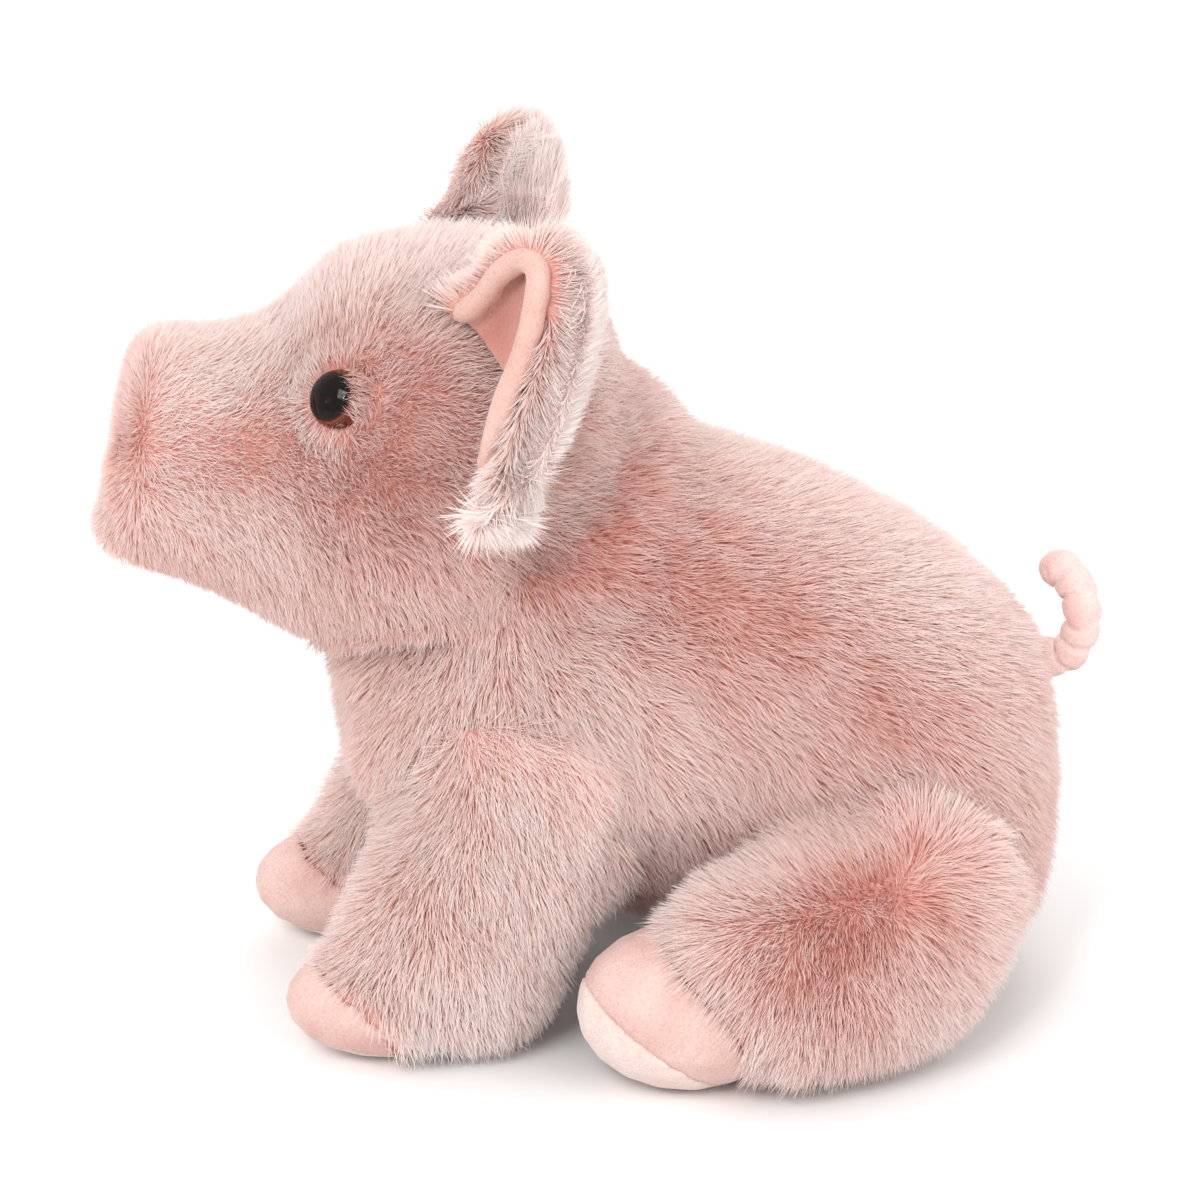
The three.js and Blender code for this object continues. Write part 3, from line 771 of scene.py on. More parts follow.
@dataclass(frozen=True)
class MouldedFinish:
    """Plain moulded plastic, as of the washers that lock the eyes."""

    name: str
    colour: Colour
    grain_scale: float = 900
    roughness: float = 0.42

    def build(self) -> bpy.types.Material:
        """Builds plastic with a fine moulded grain.

        Returns:
            The material.
        """
        nodes = Nodes(self.name)
        grain = nodes.noise(self.grain_scale, 2)
        tone = nodes.ramp(grain, [(0.2, tuple(c * 0.9 for c in self.colour)), (0.8, self.colour)])
        nodes.set(Base_Color=tone, Roughness=self.roughness)
        nodes.bump(grain, 0.00005, 0.4)
        return nodes.material


class Cloth(Enum):
    """The finishes of the sewn pieces, by use."""

    PILE = PileFinish()
    BACKING = BackingFinish()
    HOOF = NapFinish("hoof_plush", srgb(234, 197, 188), srgb(224, 181, 172), srgb(240, 209, 201))
    SOLE = NapFinish("sole_plush", srgb(244, 222, 214), srgb(238, 211, 201), srgb(248, 230, 224))
    LINING = NapFinish("lining_plush", srgb(226, 185, 173), srgb(216, 172, 160), srgb(235, 200, 190))
    TAIL = NapFinish("tail_plush", srgb(246, 212, 206), srgb(236, 194, 186), srgb(250, 222, 217))
    THREAD = ThreadFinish()
    DOME = DomeFinish()
    IRIS = IrisFinish()
    WASHER = MouldedFinish("washer_plastic", srgb(222, 220, 214))


class Shop:
    """Builds each finish once and dresses pieces with it."""

    made: dict[Cloth, bpy.types.Material] = {}

    @classmethod
    def material(cls, cloth: Cloth) -> bpy.types.Material:
        """The material of a finish, built on first use.

        Args:
            cloth: the finish.

        Returns:
            The material.
        """
        if cloth not in cls.made:
            cls.made[cloth] = cloth.value.build()
        return cls.made[cloth]

    @classmethod
    def dress(cls, piece: bpy.types.Object, cloth: Cloth) -> None:
        """Gives a piece one finish and smooth shading.

        Args:
            piece: the mesh object.
            cloth: the finish.
        """
        piece.data.materials.clear()
        piece.data.materials.append(cls.material(cloth))
        piece.data.polygons.foreach_set("use_smooth", [True] * len(piece.data.polygons))


# The pile


@dataclass(frozen=True)
class Strand:
    """One tapered strand of fur: a slim closed spike that leans along the pile."""

    foot: float = 0.07

    def build(self) -> bpy.types.Object:
        """Builds the strand at unit size: it leans to X, rises to Z and is about 1 wide in Y at its foot.

        Returns:
            The strand.
        """
        turn = [2 * math.pi * k / 3 for k in range(3)]
        ring = [(self.foot * math.cos(a), 0.5 * math.sin(a), 0) for a in turn]
        faces = [(0, 2, 1), (3, 0, 1), (3, 1, 2), (3, 2, 0)]
        piece = mesh_object("strand", np.array([*ring, (1, 0, 1)], float), faces)
        for name, values in (("along", [0, 0, 0, 1]), ("aside", [0, -0.01, 0.01, 0])):
            piece.data.attributes.new(name, "FLOAT", "POINT").data.foreach_set("value", values)
        return piece


class PileTree:
    """The node tree that grows strands on a skin from the fields held at its vertices."""

    HELPERS = ("along", "aside", "tint", "up", "comb", "rise", "lean", "cover", "instance_transform", "id")

    def __init__(self) -> None:
        """Builds the tree."""
        self.tree = bpy.data.node_groups.new("fur_pile", "GeometryNodeTree")
        self.ids: dict[str, str] = {}
        self.input = self.tree.nodes.new("NodeGroupInput")
        face = self.tree.interface
        for name, kind in (
            ("Skin", "Geometry"), ("Strand", "Object"), ("Density", "Float"), ("Width", "Float"),
            ("Jitter", "Float"), ("Clump", "Float"), ("Clump Size", "Float"), ("Seed", "Int"),
            ("Material", "Material"),
        ):
            socket = face.new_socket(name=name, in_out="INPUT", socket_type=f"NodeSocket{kind}")
            self.ids[name] = socket.identifier
        face.new_socket(name="Pile", in_out="OUTPUT", socket_type="NodeSocketGeometry")
        self.wire()

    def add(self, kind: str, inputs: dict | None = None, **settings) -> bpy.types.Node:
        """Adds a node, with its enabled inputs set or linked by name.

        Args:
            kind: the node's type name.
            inputs: values or output sockets by input name.
            settings: the node's own settings.

        Returns:
            The node.
        """
        node = self.tree.nodes.new(kind)
        for key, value in settings.items():
            setattr(node, key, value)
        for key, value in (inputs or {}).items():
            free = [s for s in node.inputs if s.enabled and s.name == key and not s.is_linked]
            if isinstance(value, bpy.types.NodeSocket):
                self.tree.links.new(value, free[0])
            else:
                free[0].default_value = value
        return node

    def out(self, node: bpy.types.Node) -> bpy.types.NodeSocket:
        """The node's first enabled output."""
        return next(s for s in node.outputs if s.enabled)

    def field(self, name: str, kind: str = "FLOAT") -> bpy.types.NodeSocket:
        """A named attribute of the skin."""
        return self.out(self.add("GeometryNodeInputNamedAttribute", {"Name": name}, data_type=kind))

    def vector(
        self, operation: str, first: object, second: object = None, scale: object = None
    ) -> bpy.types.NodeSocket:
        """Adds vector arithmetic.

        Args:
            operation: what is done.
            first: the first vector or its socket.
            second: the second vector or its socket.
            scale: the factor, for SCALE.

        Returns:
            The resulting vector.
        """
        node = self.tree.nodes.new("ShaderNodeVectorMath")
        node.operation = operation
        for socket, value in ((node.inputs[0], first), (node.inputs[1], second), (node.inputs[3], scale)):
            if isinstance(value, bpy.types.NodeSocket):
                self.tree.links.new(value, socket)
            elif value is not None:
                socket.default_value = value
        return node.outputs[0]

    def maths(self, operation: str, first: object, second: object) -> bpy.types.NodeSocket:
        """Adds plain arithmetic.

        Args:
            operation: what is done.
            first: the first number or its socket.
            second: the second number or its socket.

        Returns:
            The resulting number.
        """
        node = self.tree.nodes.new("ShaderNodeMath")
        node.operation = operation
        for socket, value in zip(node.inputs, (first, second)):
            if isinstance(value, bpy.types.NodeSocket):
                self.tree.links.new(value, socket)
            else:
                socket.default_value = value
        return node.outputs[0]

    def random(self, low: object, high: object, salt: int, kind: str = "FLOAT") -> bpy.types.NodeSocket:
        """Adds a seeded random value for each strand.

        Args:
            low: the least value.
            high: the largest value.
            salt: what sets this draw apart from the others.
            kind: the type of the value.

        Returns:
            The value.
        """
        seed = self.maths("ADD", self.input.outputs["Seed"], salt)
        inputs = {"Min": low, "Max": high, "Seed": seed}
        return self.out(self.add("FunctionNodeRandomValue", inputs, data_type=kind))

    def wire(self) -> None:
        """Links the tree from the skin to the finished strands."""
        given = self.input.outputs
        density = self.maths("MULTIPLY", given["Density"], self.field("cover"))
        scatter = self.add(
            "GeometryNodeDistributePointsOnFaces",
            {"Mesh": given["Skin"], "Density": density, "Seed": given["Seed"]},
            distribute_method="RANDOM",
        )
        frost = self.maths("ADD", self.field("tint"), self.random(-0.25, 0.25, 1))
        clamped = self.add("ShaderNodeClamp", {"Value": frost, "Min": 0.02, "Max": 0.98})
        tinted = self.add(
            "GeometryNodeStoreNamedAttribute",
            {"Geometry": scatter.outputs["Points"], "Name": "tint", "Value": clamped.outputs[0]},
            data_type="FLOAT", domain="POINT",
        )
        where = self.tree.nodes.new("GeometryNodeInputPosition").outputs[0]
        swirl = self.add("ShaderNodeTexNoise", {"Vector": where, "Scale": given["Clump Size"], "Detail": 2.0})
        swirl = self.vector("SUBTRACT", swirl.outputs["Color"], (0.5, 0.5, 0.5))
        swirl = self.vector("SCALE", swirl, scale=given["Clump"])
        shake = self.random((-1, -1, -1), (1, 1, 1), 2, "FLOAT_VECTOR")
        shake = self.vector("SCALE", shake, scale=given["Jitter"])
        loose = self.vector("ADD", swirl, shake)
        comb = self.vector("ADD", self.field("comb", "FLOAT_VECTOR"), loose)
        up = self.vector("ADD", self.field("up", "FLOAT_VECTOR"), self.vector("SCALE", loose, scale=0.45))
        turn = self.add(
            "FunctionNodeAxesToRotation", {"Primary Axis": up, "Secondary Axis": comb},
            primary_axis="Z", secondary_axis="X",
        )
        longer = self.random(0.72, 1.22, 3)
        reach = self.maths("MULTIPLY", longer, self.random(0.7, 1.2, 4))
        size = self.add(
            "ShaderNodeCombineXYZ",
            {
                "X": self.maths("MULTIPLY", self.field("lean"), reach),
                "Y": self.maths("MULTIPLY", given["Width"], self.random(0.7, 1.2, 5)),
                "Z": self.maths("MULTIPLY", self.field("rise"), longer),
            },
        )
        source = self.add("GeometryNodeObjectInfo", {"Object": given["Strand"]})
        grown = self.add(
            "GeometryNodeInstanceOnPoints",
            {
                "Points": tinted.outputs[0], "Instance": source.outputs["Geometry"],
                "Rotation": self.out(turn), "Scale": size.outputs[0],
            },
        )
        real = self.add("GeometryNodeRealizeInstances", {"Geometry": grown.outputs[0]})
        split = self.add("ShaderNodeSeparateXYZ", {"Vector": where})
        height = self.maths("MAXIMUM", split.outputs["Z"], FLOOR_GAP)
        lifted = {"X": split.outputs["X"], "Y": split.outputs["Y"], "Z": height}
        lifted = self.add("ShaderNodeCombineXYZ", lifted).outputs[0]
        placed = self.add("GeometryNodeSetPosition", {"Geometry": real.outputs[0], "Position": lifted})
        across = self.maths("ADD", self.field("tint"), self.field("aside"))
        spread = self.add("ShaderNodeCombineXYZ", {"X": across, "Y": self.field("along")})
        mapped = self.add(
            "GeometryNodeStoreNamedAttribute",
            {"Geometry": placed.outputs[0], "Name": STRAND_MAP, "Value": spread.outputs[0]},
            data_type="FLOAT2", domain="CORNER",
        )
        cloth = {"Geometry": mapped.outputs[0], "Material": given["Material"]}
        dressed = self.add("GeometryNodeSetMaterial", cloth)
        result = self.tree.nodes.new("NodeGroupOutput")
        self.tree.links.new(dressed.outputs[0], result.inputs[0])


@dataclass
class PileFields:
    """What the pile does at each vertex of a skin."""

    rise: Array
    lean: Array
    comb: Array
    # how pale the strands are; on the torso and head this also carries painted light and painted shade
    tint: Array
    cover: Array


@dataclass
class Groomer:
    """Grows the pile of every fur form."""

    density: float = 2.2e6
    width: float = 0.34 * MM
    jitter: float = 0.3
    clump: float = 1.5
    clump_size: float = 105.0
    tree: PileTree = field(default_factory=PileTree)
    strand: bpy.types.Object = field(default_factory=lambda: Strand().build())

    def grow(
        self, skin: bpy.types.Object, fields: PileFields, name: str, body: str, seed: int,
        fineness: float = 1.0, ruffle: float = 1.0,
    ) -> bpy.types.Object:
        """Grows the strands of one piece of pile.

        Args:
            skin: the cloth that carries the pile.
            fields: what the pile does at each vertex.
            name: the pile's name.
            body: the body that it rides on.
            seed: the seed of its random draws.
            fineness: how many times as dense the strands stand, and how much slimmer they are.
            ruffle: how unevenly they lie.

        Returns:
            The pile as a plain mesh.
        """
        piece = bpy.data.objects.new(name, skin.data.copy())
        bpy.context.scene.collection.objects.link(piece)
        piece.data.materials.clear()
        up = averaged(normals_of(skin), edges_of(skin), 3)
        for key, values in (("up", unit(up)), ("comb", fields.comb)):
            made = piece.data.attributes.new(key, "FLOAT_VECTOR", "POINT")
            made.data.foreach_set("vector", np.ascontiguousarray(values, float).ravel())
        for key in ("rise", "lean", "tint", "cover"):
            made = piece.data.attributes.new(key, "FLOAT", "POINT")
            made.data.foreach_set("value", np.ascontiguousarray(getattr(fields, key), float))
        modifier = piece.modifiers.new("pile", "NODES")
        modifier.node_group = self.tree.tree
        share = QUICK_SHARE * fineness
        inputs = {
            "Strand": self.strand, "Density": self.density * share, "Width": self.width / math.sqrt(share),
            "Jitter": self.jitter * ruffle, "Clump": self.clump * ruffle, "Clump Size": self.clump_size,
            "Seed": seed, "Material": Shop.material(Cloth.PILE),
        }
        for key, value in inputs.items():
            modifier[self.tree.ids[key]] = value
        bake_modifiers(piece)
        piece.data.polygons.foreach_set("use_smooth", [False] * len(piece.data.polygons))
        for helper in PileTree.HELPERS:
            made = piece.data.attributes.get(helper)
            if made:
                piece.data.attributes.remove(made)
        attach(piece, body)
        LOG.info("%s: %d strands", name, len(piece.data.polygons) // 4)
        return piece

    def finish(self) -> None:
        """Puts the pattern strand away."""
        bpy.data.objects.remove(self.strand)


# Stuffed fur forms


@dataclass
class FurForm:
    """A stuffed form: a skin under the CAD form's outer face, and the pile that fills up to it."""

    name: str
    body: str
    nodes: tuple[str, ...]
    plugs: tuple[str, ...] = ()
    carriers: tuple[str, ...] = ()
    riders: tuple[str, ...] = ()
    voxel: float = 3 * MM
    widest: float = 200 * MM
    core_share: float = 0.42
    touch: float = 1.2 * MM
    clear: float = 3 * MM
    push: float = 8 * MM
    tuck: float = 0.7 * MM
    puff: float = 1.2 * MM
    least: float = 0.0
    hem: float = 0.95
    pile: float = 6.2 * MM
    laid: float = 5.5 * MM
    frost: float = 0.5
    uneven: float = 0.1
    upward: Span = (0.2, 0.9)
    fineness: float = 1.0
    ruffle: float = 1.0
    seed: int = 1
    slot: str = "fur"

    def rise(self, co: Array, normals: Array) -> Array:
        """How high the pile stands."""
        return np.full(len(co), self.pile)

    def lean(self, co: Array, normals: Array) -> Array:
        """How far a strand's tip leans along the comb."""
        return np.full(len(co), self.laid)

    def comb(self, co: Array, normals: Array) -> Array:
        """Which way the pile is combed."""
        return np.tile([0.0, 0.0, -1.0], (len(co), 1))

    def tint(self, co: Array, normals: Array) -> Array:
        """How pale the strands are, from 0 to 1."""
        return np.full(len(co), self.frost)

    def cover(self, co: Array, normals: Array) -> Array:
        """How densely the pile grows, from 0 to 1."""
        return np.ones(len(co))

    def masks(self, co: Array) -> dict[str, Array]:
        """The parts that the pile is split into, by name."""
        return {"": np.ones(len(co))}

    def widen(self, piece: bpy.types.Object) -> None:
        """Adds cloth to a form before its skin is drawn."""

    def swell(self, co: Array, normals: Array) -> Array:
        """How far the form is filled out past its CAD face, where it runs into a neighbour."""
        return np.zeros(len(co))

    def inset(self, co: Array, rise: Array) -> Array:
        """How far the skin lies under the outer face."""
        return rise

    def overhang(self, co: Array) -> Array:
        """How far the pile stands above the outer face."""
        return np.zeros(len(co))

    def shape(self, piece: bpy.types.Object, outer: Array) -> None:
        """Changes a form's skin by hand after it was drawn in."""

    def touching(self, nodes: tuple[str, ...], co: Array) -> Array:
        """How closely each point lies against some CAD nodes.

        Args:
            nodes: the names of the CAD nodes.
            co: points, one a row.

        Returns:
            1 where they touch, falling to 0 at some distance.
        """
        if not nodes:
            return np.zeros(len(co))
        return 1 - smooth(self.touch, self.clear, distances(surface_of(nodes), co))

    def thickness(self, piece: bpy.types.Object, co: Array, normals: Array) -> Array:
        """How thick the form is under each point.

        Args:
            piece: the form.
            co: its points.
            normals: its normals.

        Returns:
            The distance to the far side, one a point.
        """
        faces = [tuple(face.vertices) for face in piece.data.polygons]
        tree = BVHTree.FromPolygons([Vector(point) for point in co], faces)
        found = np.full(len(co), self.widest)
        for k, (point, normal) in enumerate(zip(co, normals)):
            hit = tree.ray_cast(Vector(point - normal * 0.2 * MM), Vector(-normal))
            if hit[3]:
                found[k] = hit[3]
        return found

    def build(self, groomer: Groomer) -> bpy.types.Object:
        """Builds the skin and grows its pile.

        Args:
            groomer: what grows the pile.

        Returns:
            The skin.
        """
        skin = merged_copy(self.name, self.nodes + self.plugs)
        self.widen(skin)
        remeshed(skin, self.voxel)
        relaxed(skin, 3)
        edges = edges_of(skin)
        outer = points_of(skin)
        normals = unit(averaged(normals_of(skin), edges, 2))
        held = self.touching(self.carriers, outer)
        bare = self.touching(self.riders, outer)
        outer = outer + normals * averaged(self.swell(outer, normals), edges, 4)[:, None]
        thick = averaged(self.thickness(skin, outer, normals), edges, 3)
        rise = np.minimum(self.rise(outer, normals), self.core_share * thick)
        inward = -normals * self.inset(outer, rise)[:, None] * (1 - bare[:, None])
        moved = inward * (1 - held[:, None]) + normals * (self.push * held + self.tuck * bare)[:, None]
        move_points(skin, outer + averaged(moved, edges, 4))
        relaxed(skin, 2)
        self.shape(skin, outer)
        puffed(skin, self.puff)
        cover = self.cover(outer, normals) * (held < 0.97) * (bare < self.hem)
        co = points_of(skin)
        normal = normals_of(skin)
        comb = self.comb(outer, normals)
        comb = comb - (comb * normal).sum(1)[:, None] * normal
        stand = np.maximum(rise, self.least) + self.overhang(outer)
        fields = PileFields(stand, self.lean(outer, normals), comb, self.tint(outer, normals), cover)
        Shop.dress(skin, Cloth.BACKING)
        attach(skin, self.body)
        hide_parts(*self.nodes)
        LOG.info("%s: %d faces", self.name, len(skin.data.polygons))
        for k, (part, mask) in enumerate(self.masks(co).items()):
            shown = PileFields(stand, fields.lean, fields.comb, fields.tint, cover * mask)
            name = f"{self.name}_fur{part}"
            groomer.grow(skin, shown, name, self.body, self.seed + k, self.fineness, self.ruffle)
        return skin


@dataclass
class TorsoForm(FurForm):
    """The torso with its neck, filled out where the legs and the head are sewn on."""

    whorls: tuple[Patch, ...] = (
        Patch((-0.004, -0.056, 0.165), 0.030, 0.26), Patch((0.017, -0.058, 0.139), 0.034, 0.30),
        Patch((0.042, -0.056, 0.134), 0.030, 0.24), Patch((0.070, -0.058, 0.100), 0.034, 0.32),
        Patch((-0.016, -0.050, 0.144), 0.030, 0.20), Patch((0.018, -0.036, 0.168), 0.030, 0.36),
    )
    legs: tuple[str, ...] = ("front_leg_left", "front_leg_right")
    shoulder_fill: float = 7.5 * MM
    nape_fill: float = 3.5 * MM
    throat_fill: float = 7 * MM
    leg_reach: Span = (2 * MM, 36 * MM)
    fill_heights: Span = (50 * MM, 85 * MM)
    head_reach: Span = (1 * MM, 24 * MM)
    throat_heights: Span = (130 * MM, 175 * MM)
    flank_heights: Span = (60 * MM, 150 * MM)
    # heights over which the painted shade low on the flanks fades out
    low_shade_heights: Span = (60 * MM, 100 * MM)
    chest: Span = (-55 * MM, -10 * MM)
    rump: Span = (70 * MM, 115 * MM)
    # reach of the painted light on the flank beside the front legs
    shoulder_light_reach: Span = (4 * MM, 34 * MM)
    laid: float = 6.4 * MM
    stand_share: float = 0.55
    frost: float = 0.52
    # painted light: the back's tint on upward faces and the shoulders' tint; painted shade: the belly's tint
    # on downward faces and the low flanks' tint
    back_tint: float = 0.24
    rump_tint: float = 0.08
    shoulder_painted_light: float = 0.15
    belly_painted_shade: float = 0.32
    low_painted_shade: float = 0.16
    middle_from: float = 5 * MM
    rear_from: float = 68 * MM

    def swell(self, co: Array, normals: Array) -> Array:
        """Fills the creases at the shoulders and under the jaw.

        Args:
            co: points, one a row.
            normals: the normals there, one a row; not used here.

        Returns:
            How far, one value a point.
        """
        legs = distances(surface_of(self.legs), co)
        head = distances(surface_of(("head",)), co)
        shoulder = self.shoulder_fill * (1 - smooth(*self.leg_reach, legs))
        below = 1 - smooth(*self.throat_heights, co[:, 2])
        collar = self.nape_fill + (self.throat_fill - self.nape_fill) * below
        collar *= 1 - smooth(*self.head_reach, head)
        return np.maximum(shoulder * smooth(*self.fill_heights, co[:, 2]), collar)

    def stirred(self, co: Array) -> Array:
        """How far the pile stands up in its whorls, from 0 to 1."""
        return np.clip(sum(whorl.near(co, whorl.radius) for whorl in self.whorls), 0, 1)

    def lean(self, co: Array, normals: Array) -> Array:
        """Less where the pile stands up in whorls."""
        return self.laid * (1 - self.stand_share * self.stirred(co))

    def comb(self, co: Array, normals: Array) -> Array:
        """Back along the back and rump, and down over the flanks and chest.

        Args:
            co: points, one a row.
            normals: the normals there, one a row; not used here.

        Returns:
            Directions, one a row.
        """
        low = 1 - smooth(*self.flank_heights, co[:, 2])
        front = 1 - smooth(*self.chest, co[:, 0])
        down = 0.35 + 0.9 * low + 1.2 * front
        return unit(np.column_stack([1.0 - 0.9 * front, 0.15 * np.sign(co[:, 1]), -down]))

    def tint(self, co: Array, normals: Array) -> Array:
        """Paler on the rump, deeper in whorls; painted light on back and shoulders, painted shade under the
        belly.

        Args:
            co: points, one a row.
            normals: the normals there, one a row.

        Returns:
            Values from 0 to 1, one a point.
        """
        deep = sum(whorl.depth * whorl.near(co, 1.5 * whorl.radius) for whorl in self.whorls)
        deep *= 0.75 + 0.6 * Waves(17, 11 * MM).at(co)
        # painted shade: deeper on downward faces and toward the bottom
        deep += self.belly_painted_shade * smooth(0.0, 0.8, -normals[:, 2])
        deep += self.low_painted_shade * (1 - smooth(*self.low_shade_heights, co[:, 2]))
        # painted light: paler on upward faces
        pale = self.back_tint * smooth(*self.upward, normals[:, 2])
        pale += self.rump_tint * smooth(*self.rump, co[:, 0])
        # painted light: paler beside the front legs, where the crease would lie in shade
        pale += self.shoulder_painted_light * (1 - smooth(*self.shoulder_light_reach, distances(surface_of(self.legs), co)))
        return np.clip(self.frost + pale - deep + self.uneven * Waves(11, 40 * MM).at(co), 0, 1)

    def masks(self, co: Array) -> dict[str, Array]:
        """Six parts: front, middle and rear, left and right.

        Args:
            co: points, one a row.

        Returns:
            For each part's name, which points are in it.
        """
        front, rear, left = co[:, 0] < self.middle_from, co[:, 0] > self.rear_from, co[:, 1] < 0
        parts = {"front": front, "middle": ~front & ~rear, "rear": rear}
        shown = {}
        for name, part in parts.items():
            shown[f"_{name}_left"] = part & left
            shown[f"_{name}_right"] = part & ~left
        return shown


@dataclass
class HeadForm(FurForm):
    """The head with its snout, whose pile spreads from the nose over the face."""

    nose: Place = (-0.136, 0.0, 0.166)
    stands: tuple[Patch, ...] = (
        Patch((-0.128, -0.012, 0.168), 0.044, 0.50), Patch((-0.056, -0.050, 0.180), 0.058, 0.62),
        Patch((-0.100, -0.038, 0.176), 0.022, 0.50),
    )
    brow: Patch = Patch((-0.073, -0.044, 0.187), 0.026, 0.34)
    cheek: Patch = Patch((-0.054, -0.050, 0.181), 0.062, 0.27)
    eyes: list["Eye"] = field(default_factory=list)
    snout: Span = (-130 * MM, -60 * MM)
    snout_pale: Span = (-100 * MM, -70 * MM)
    jaw_heights: Span = (115 * MM, 165 * MM)
    eye_bare: Span = (7.2 * MM, 8.6 * MM)
    eye_parting: Span = (8 * MM, 18 * MM)
    lash_reach: Span = (10.5 * MM, 14 * MM)
    lash_from: Span = (1 * MM, 5 * MM)
    bed_reach: Span = (9 * MM, 13 * MM)
    eye_bed: float = 1.9 * MM
    pile: float = 5.8 * MM
    snout_pile: float = 3.6 * MM
    laid: float = 5.4 * MM
    lash_laid: float = 3.6 * MM
    lash: float = 1.0 * MM
    lash_crowding: float = 0.9
    frost: float = 0.6
    # painted light: the crown's tint on upward faces; painted shade: the jaw's tint on downward faces
    crown_painted_light: float = 0.36
    snout_tint: float = 0.08
    jaw_painted_shade: float = 0.2
    lash_tint: float = 0.3
    fineness: float = 1.25
    nostril_bed: Place = (0.012, 0.0032, 0.0048)
    snout_to: float = -70 * MM

    def rise(self, co: Array, normals: Array) -> Array:
        """Shorter on the snout."""
        return self.snout_pile + (self.pile - self.snout_pile) * smooth(*self.snout, co[:, 0])

    def lean(self, co: Array, normals: Array) -> Array:
        """Less at the nose and on the cheek, where the pile stands.

        Args:
            co: points, one a row.
            normals: the normals there, one a row; not used here.

        Returns:
            How far, one value a point.
        """
        up = np.clip(sum(patch.at(co) for patch in self.stands), 0, 0.85)
        over = self.lashes(co)
        return self.laid * (1 - up) * (1 - over) + self.lash_laid * over

    def overhang(self, co: Array) -> Array:
        """Longer where the cheek's pile hangs over the eyes."""
        return self.lash * self.lashes(co)

    def behind(self, co: Array, eye: "Eye") -> Array:
        """The cheek close behind an eye, whose pile hangs over the eye's edge.

        Args:
            co: points, one a row.
            eye: the eye.

        Returns:
            1 close behind the eye, falling to 0 around it.
        """
        out = co - eye.seat
        close = 1 - smooth(*self.lash_reach, np.linalg.norm(out, axis=1))
        return close * smooth(*self.lash_from, out[:, 0])

    def lashes(self, co: Array) -> Array:
        """1 on the cheek close behind either eye."""
        return sum(self.behind(co, eye) for eye in self.eyes)

    def comb(self, co: Array, normals: Array) -> Array:
        """Away from the nose, and down at the jaw.

        Args:
            co: points, one a row.
            normals: the normals there, one a row; not used here.

        Returns:
            Directions, one a row.
        """
        away = unit(co - np.array(self.nose))
        away[:, 2] -= 0.9 * (1 - smooth(*self.jaw_heights, co[:, 2]))
        for eye in self.eyes:
            out = co - eye.seat
            near = 1 - smooth(*self.eye_parting, np.linalg.norm(out, axis=1))
            away += (1.6 * near)[:, None] * unit(out)
            away -= 5.0 * self.behind(co, eye)[:, None] * unit(out)
        return unit(away)

    def tint(self, co: Array, normals: Array) -> Array:
        """Pale on the snout and by the eye, deeper on the cheek; painted light on upward faces, painted shade
        under the jaw.

        Args:
            co: points, one a row.
            normals: the normals there, one a row.

        Returns:
            Values from 0 to 1, one a point.
        """
        # painted light: paler on upward faces such as the forehead
        pale = self.crown_painted_light * smooth(*self.upward, normals[:, 2]) + self.brow.at(co)
        pale += self.snout_tint * (1 - smooth(*self.snout_pale, co[:, 0]))
        deep = self.cheek.at(co) * (0.85 + 0.35 * Waves(16, 14 * MM).at(co))
        # painted shade on downward faces under the jaw, and deeper behind the eyes
        deep += self.jaw_painted_shade * smooth(0.1, 0.8, -normals[:, 2]) + self.lash_tint * self.lashes(co)
        return np.clip(self.frost + pale - deep + self.uneven * Waves(12, 35 * MM).at(co), 0, 1)

    def cover(self, co: Array, normals: Array) -> Array:
        """Bare under the eyes and nostrils.

        Args:
            co: points, one a row.
            normals: the normals there, one a row; not used here.

        Returns:
            Values of 0 and more, one a point.
        """
        bare = np.zeros(len(co))
        for eye in self.eyes:
            bare = np.maximum(bare, 1 - smooth(*self.eye_bare, np.linalg.norm(co - eye.seat, axis=1)))
        for side_name in SIDES:
            low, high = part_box(f"nostril_{side_name}")
            share = (co - np.array((low + high) / 2)) / np.array(self.nostril_bed)
            bare = np.maximum(bare, 1 - smooth(0.9, 1.3, np.linalg.norm(share, axis=1)))
        return (1 - bare) * (1 + self.lash_crowding * self.lashes(co))

    def shape(self, piece: bpy.types.Object, outer: Array) -> None:
        """Presses the skin flat under each eye.

        Args:
            piece: the mesh object.
            outer: its points before it was drawn in; not used here.
        """
        co = points_of(piece)
        for eye in self.eyes:
            out = co - eye.seat
            height = out @ eye.axis
            aside = np.linalg.norm(out - height[:, None] * eye.axis, axis=1)
            under = (1 - smooth(*self.bed_reach, aside)) * (np.abs(height) < 20 * MM)
            co += (under * (-self.eye_bed - height))[:, None] * eye.axis
        move_points(piece, co)

    def masks(self, co: Array) -> dict[str, Array]:
        """Left and right halves of the snout and of the crown.

        Args:
            co: points, one a row.

        Returns:
            For each part's name, which points are in it.
        """
        front, left = co[:, 0] < self.snout_to, co[:, 1] < 0
        return {
            "_snout_left": front & left, "_snout_right": front & ~left,
            "_crown_left": ~front & left, "_crown_right": ~front & ~left,
        }


@dataclass
class FrontLegForm(FurForm):
    """A front leg, whose pile hangs down to a hem over the hoof."""

    frost: float = 0.74
    foot_tint: float = 0.1
    foot_heights: Span = (10 * MM, 50 * MM)
    shoulder_heights: Span = (50 * MM, 100 * MM)

    def comb(self, co: Array, normals: Array) -> Array:
        """Straight down, turned a little back at the shoulder."""
        high = smooth(*self.shoulder_heights, co[:, 2])
        return unit(np.column_stack([0.15 + 0.75 * high, np.zeros(len(co)), -np.ones(len(co))]))

    def tint(self, co: Array, normals: Array) -> Array:
        """Pale at the foot."""
        pale = self.foot_tint * (1 - smooth(*self.foot_heights, co[:, 2]))
        return np.clip(self.frost + pale + self.uneven * Waves(13, 30 * MM).at(co), 0, 1)


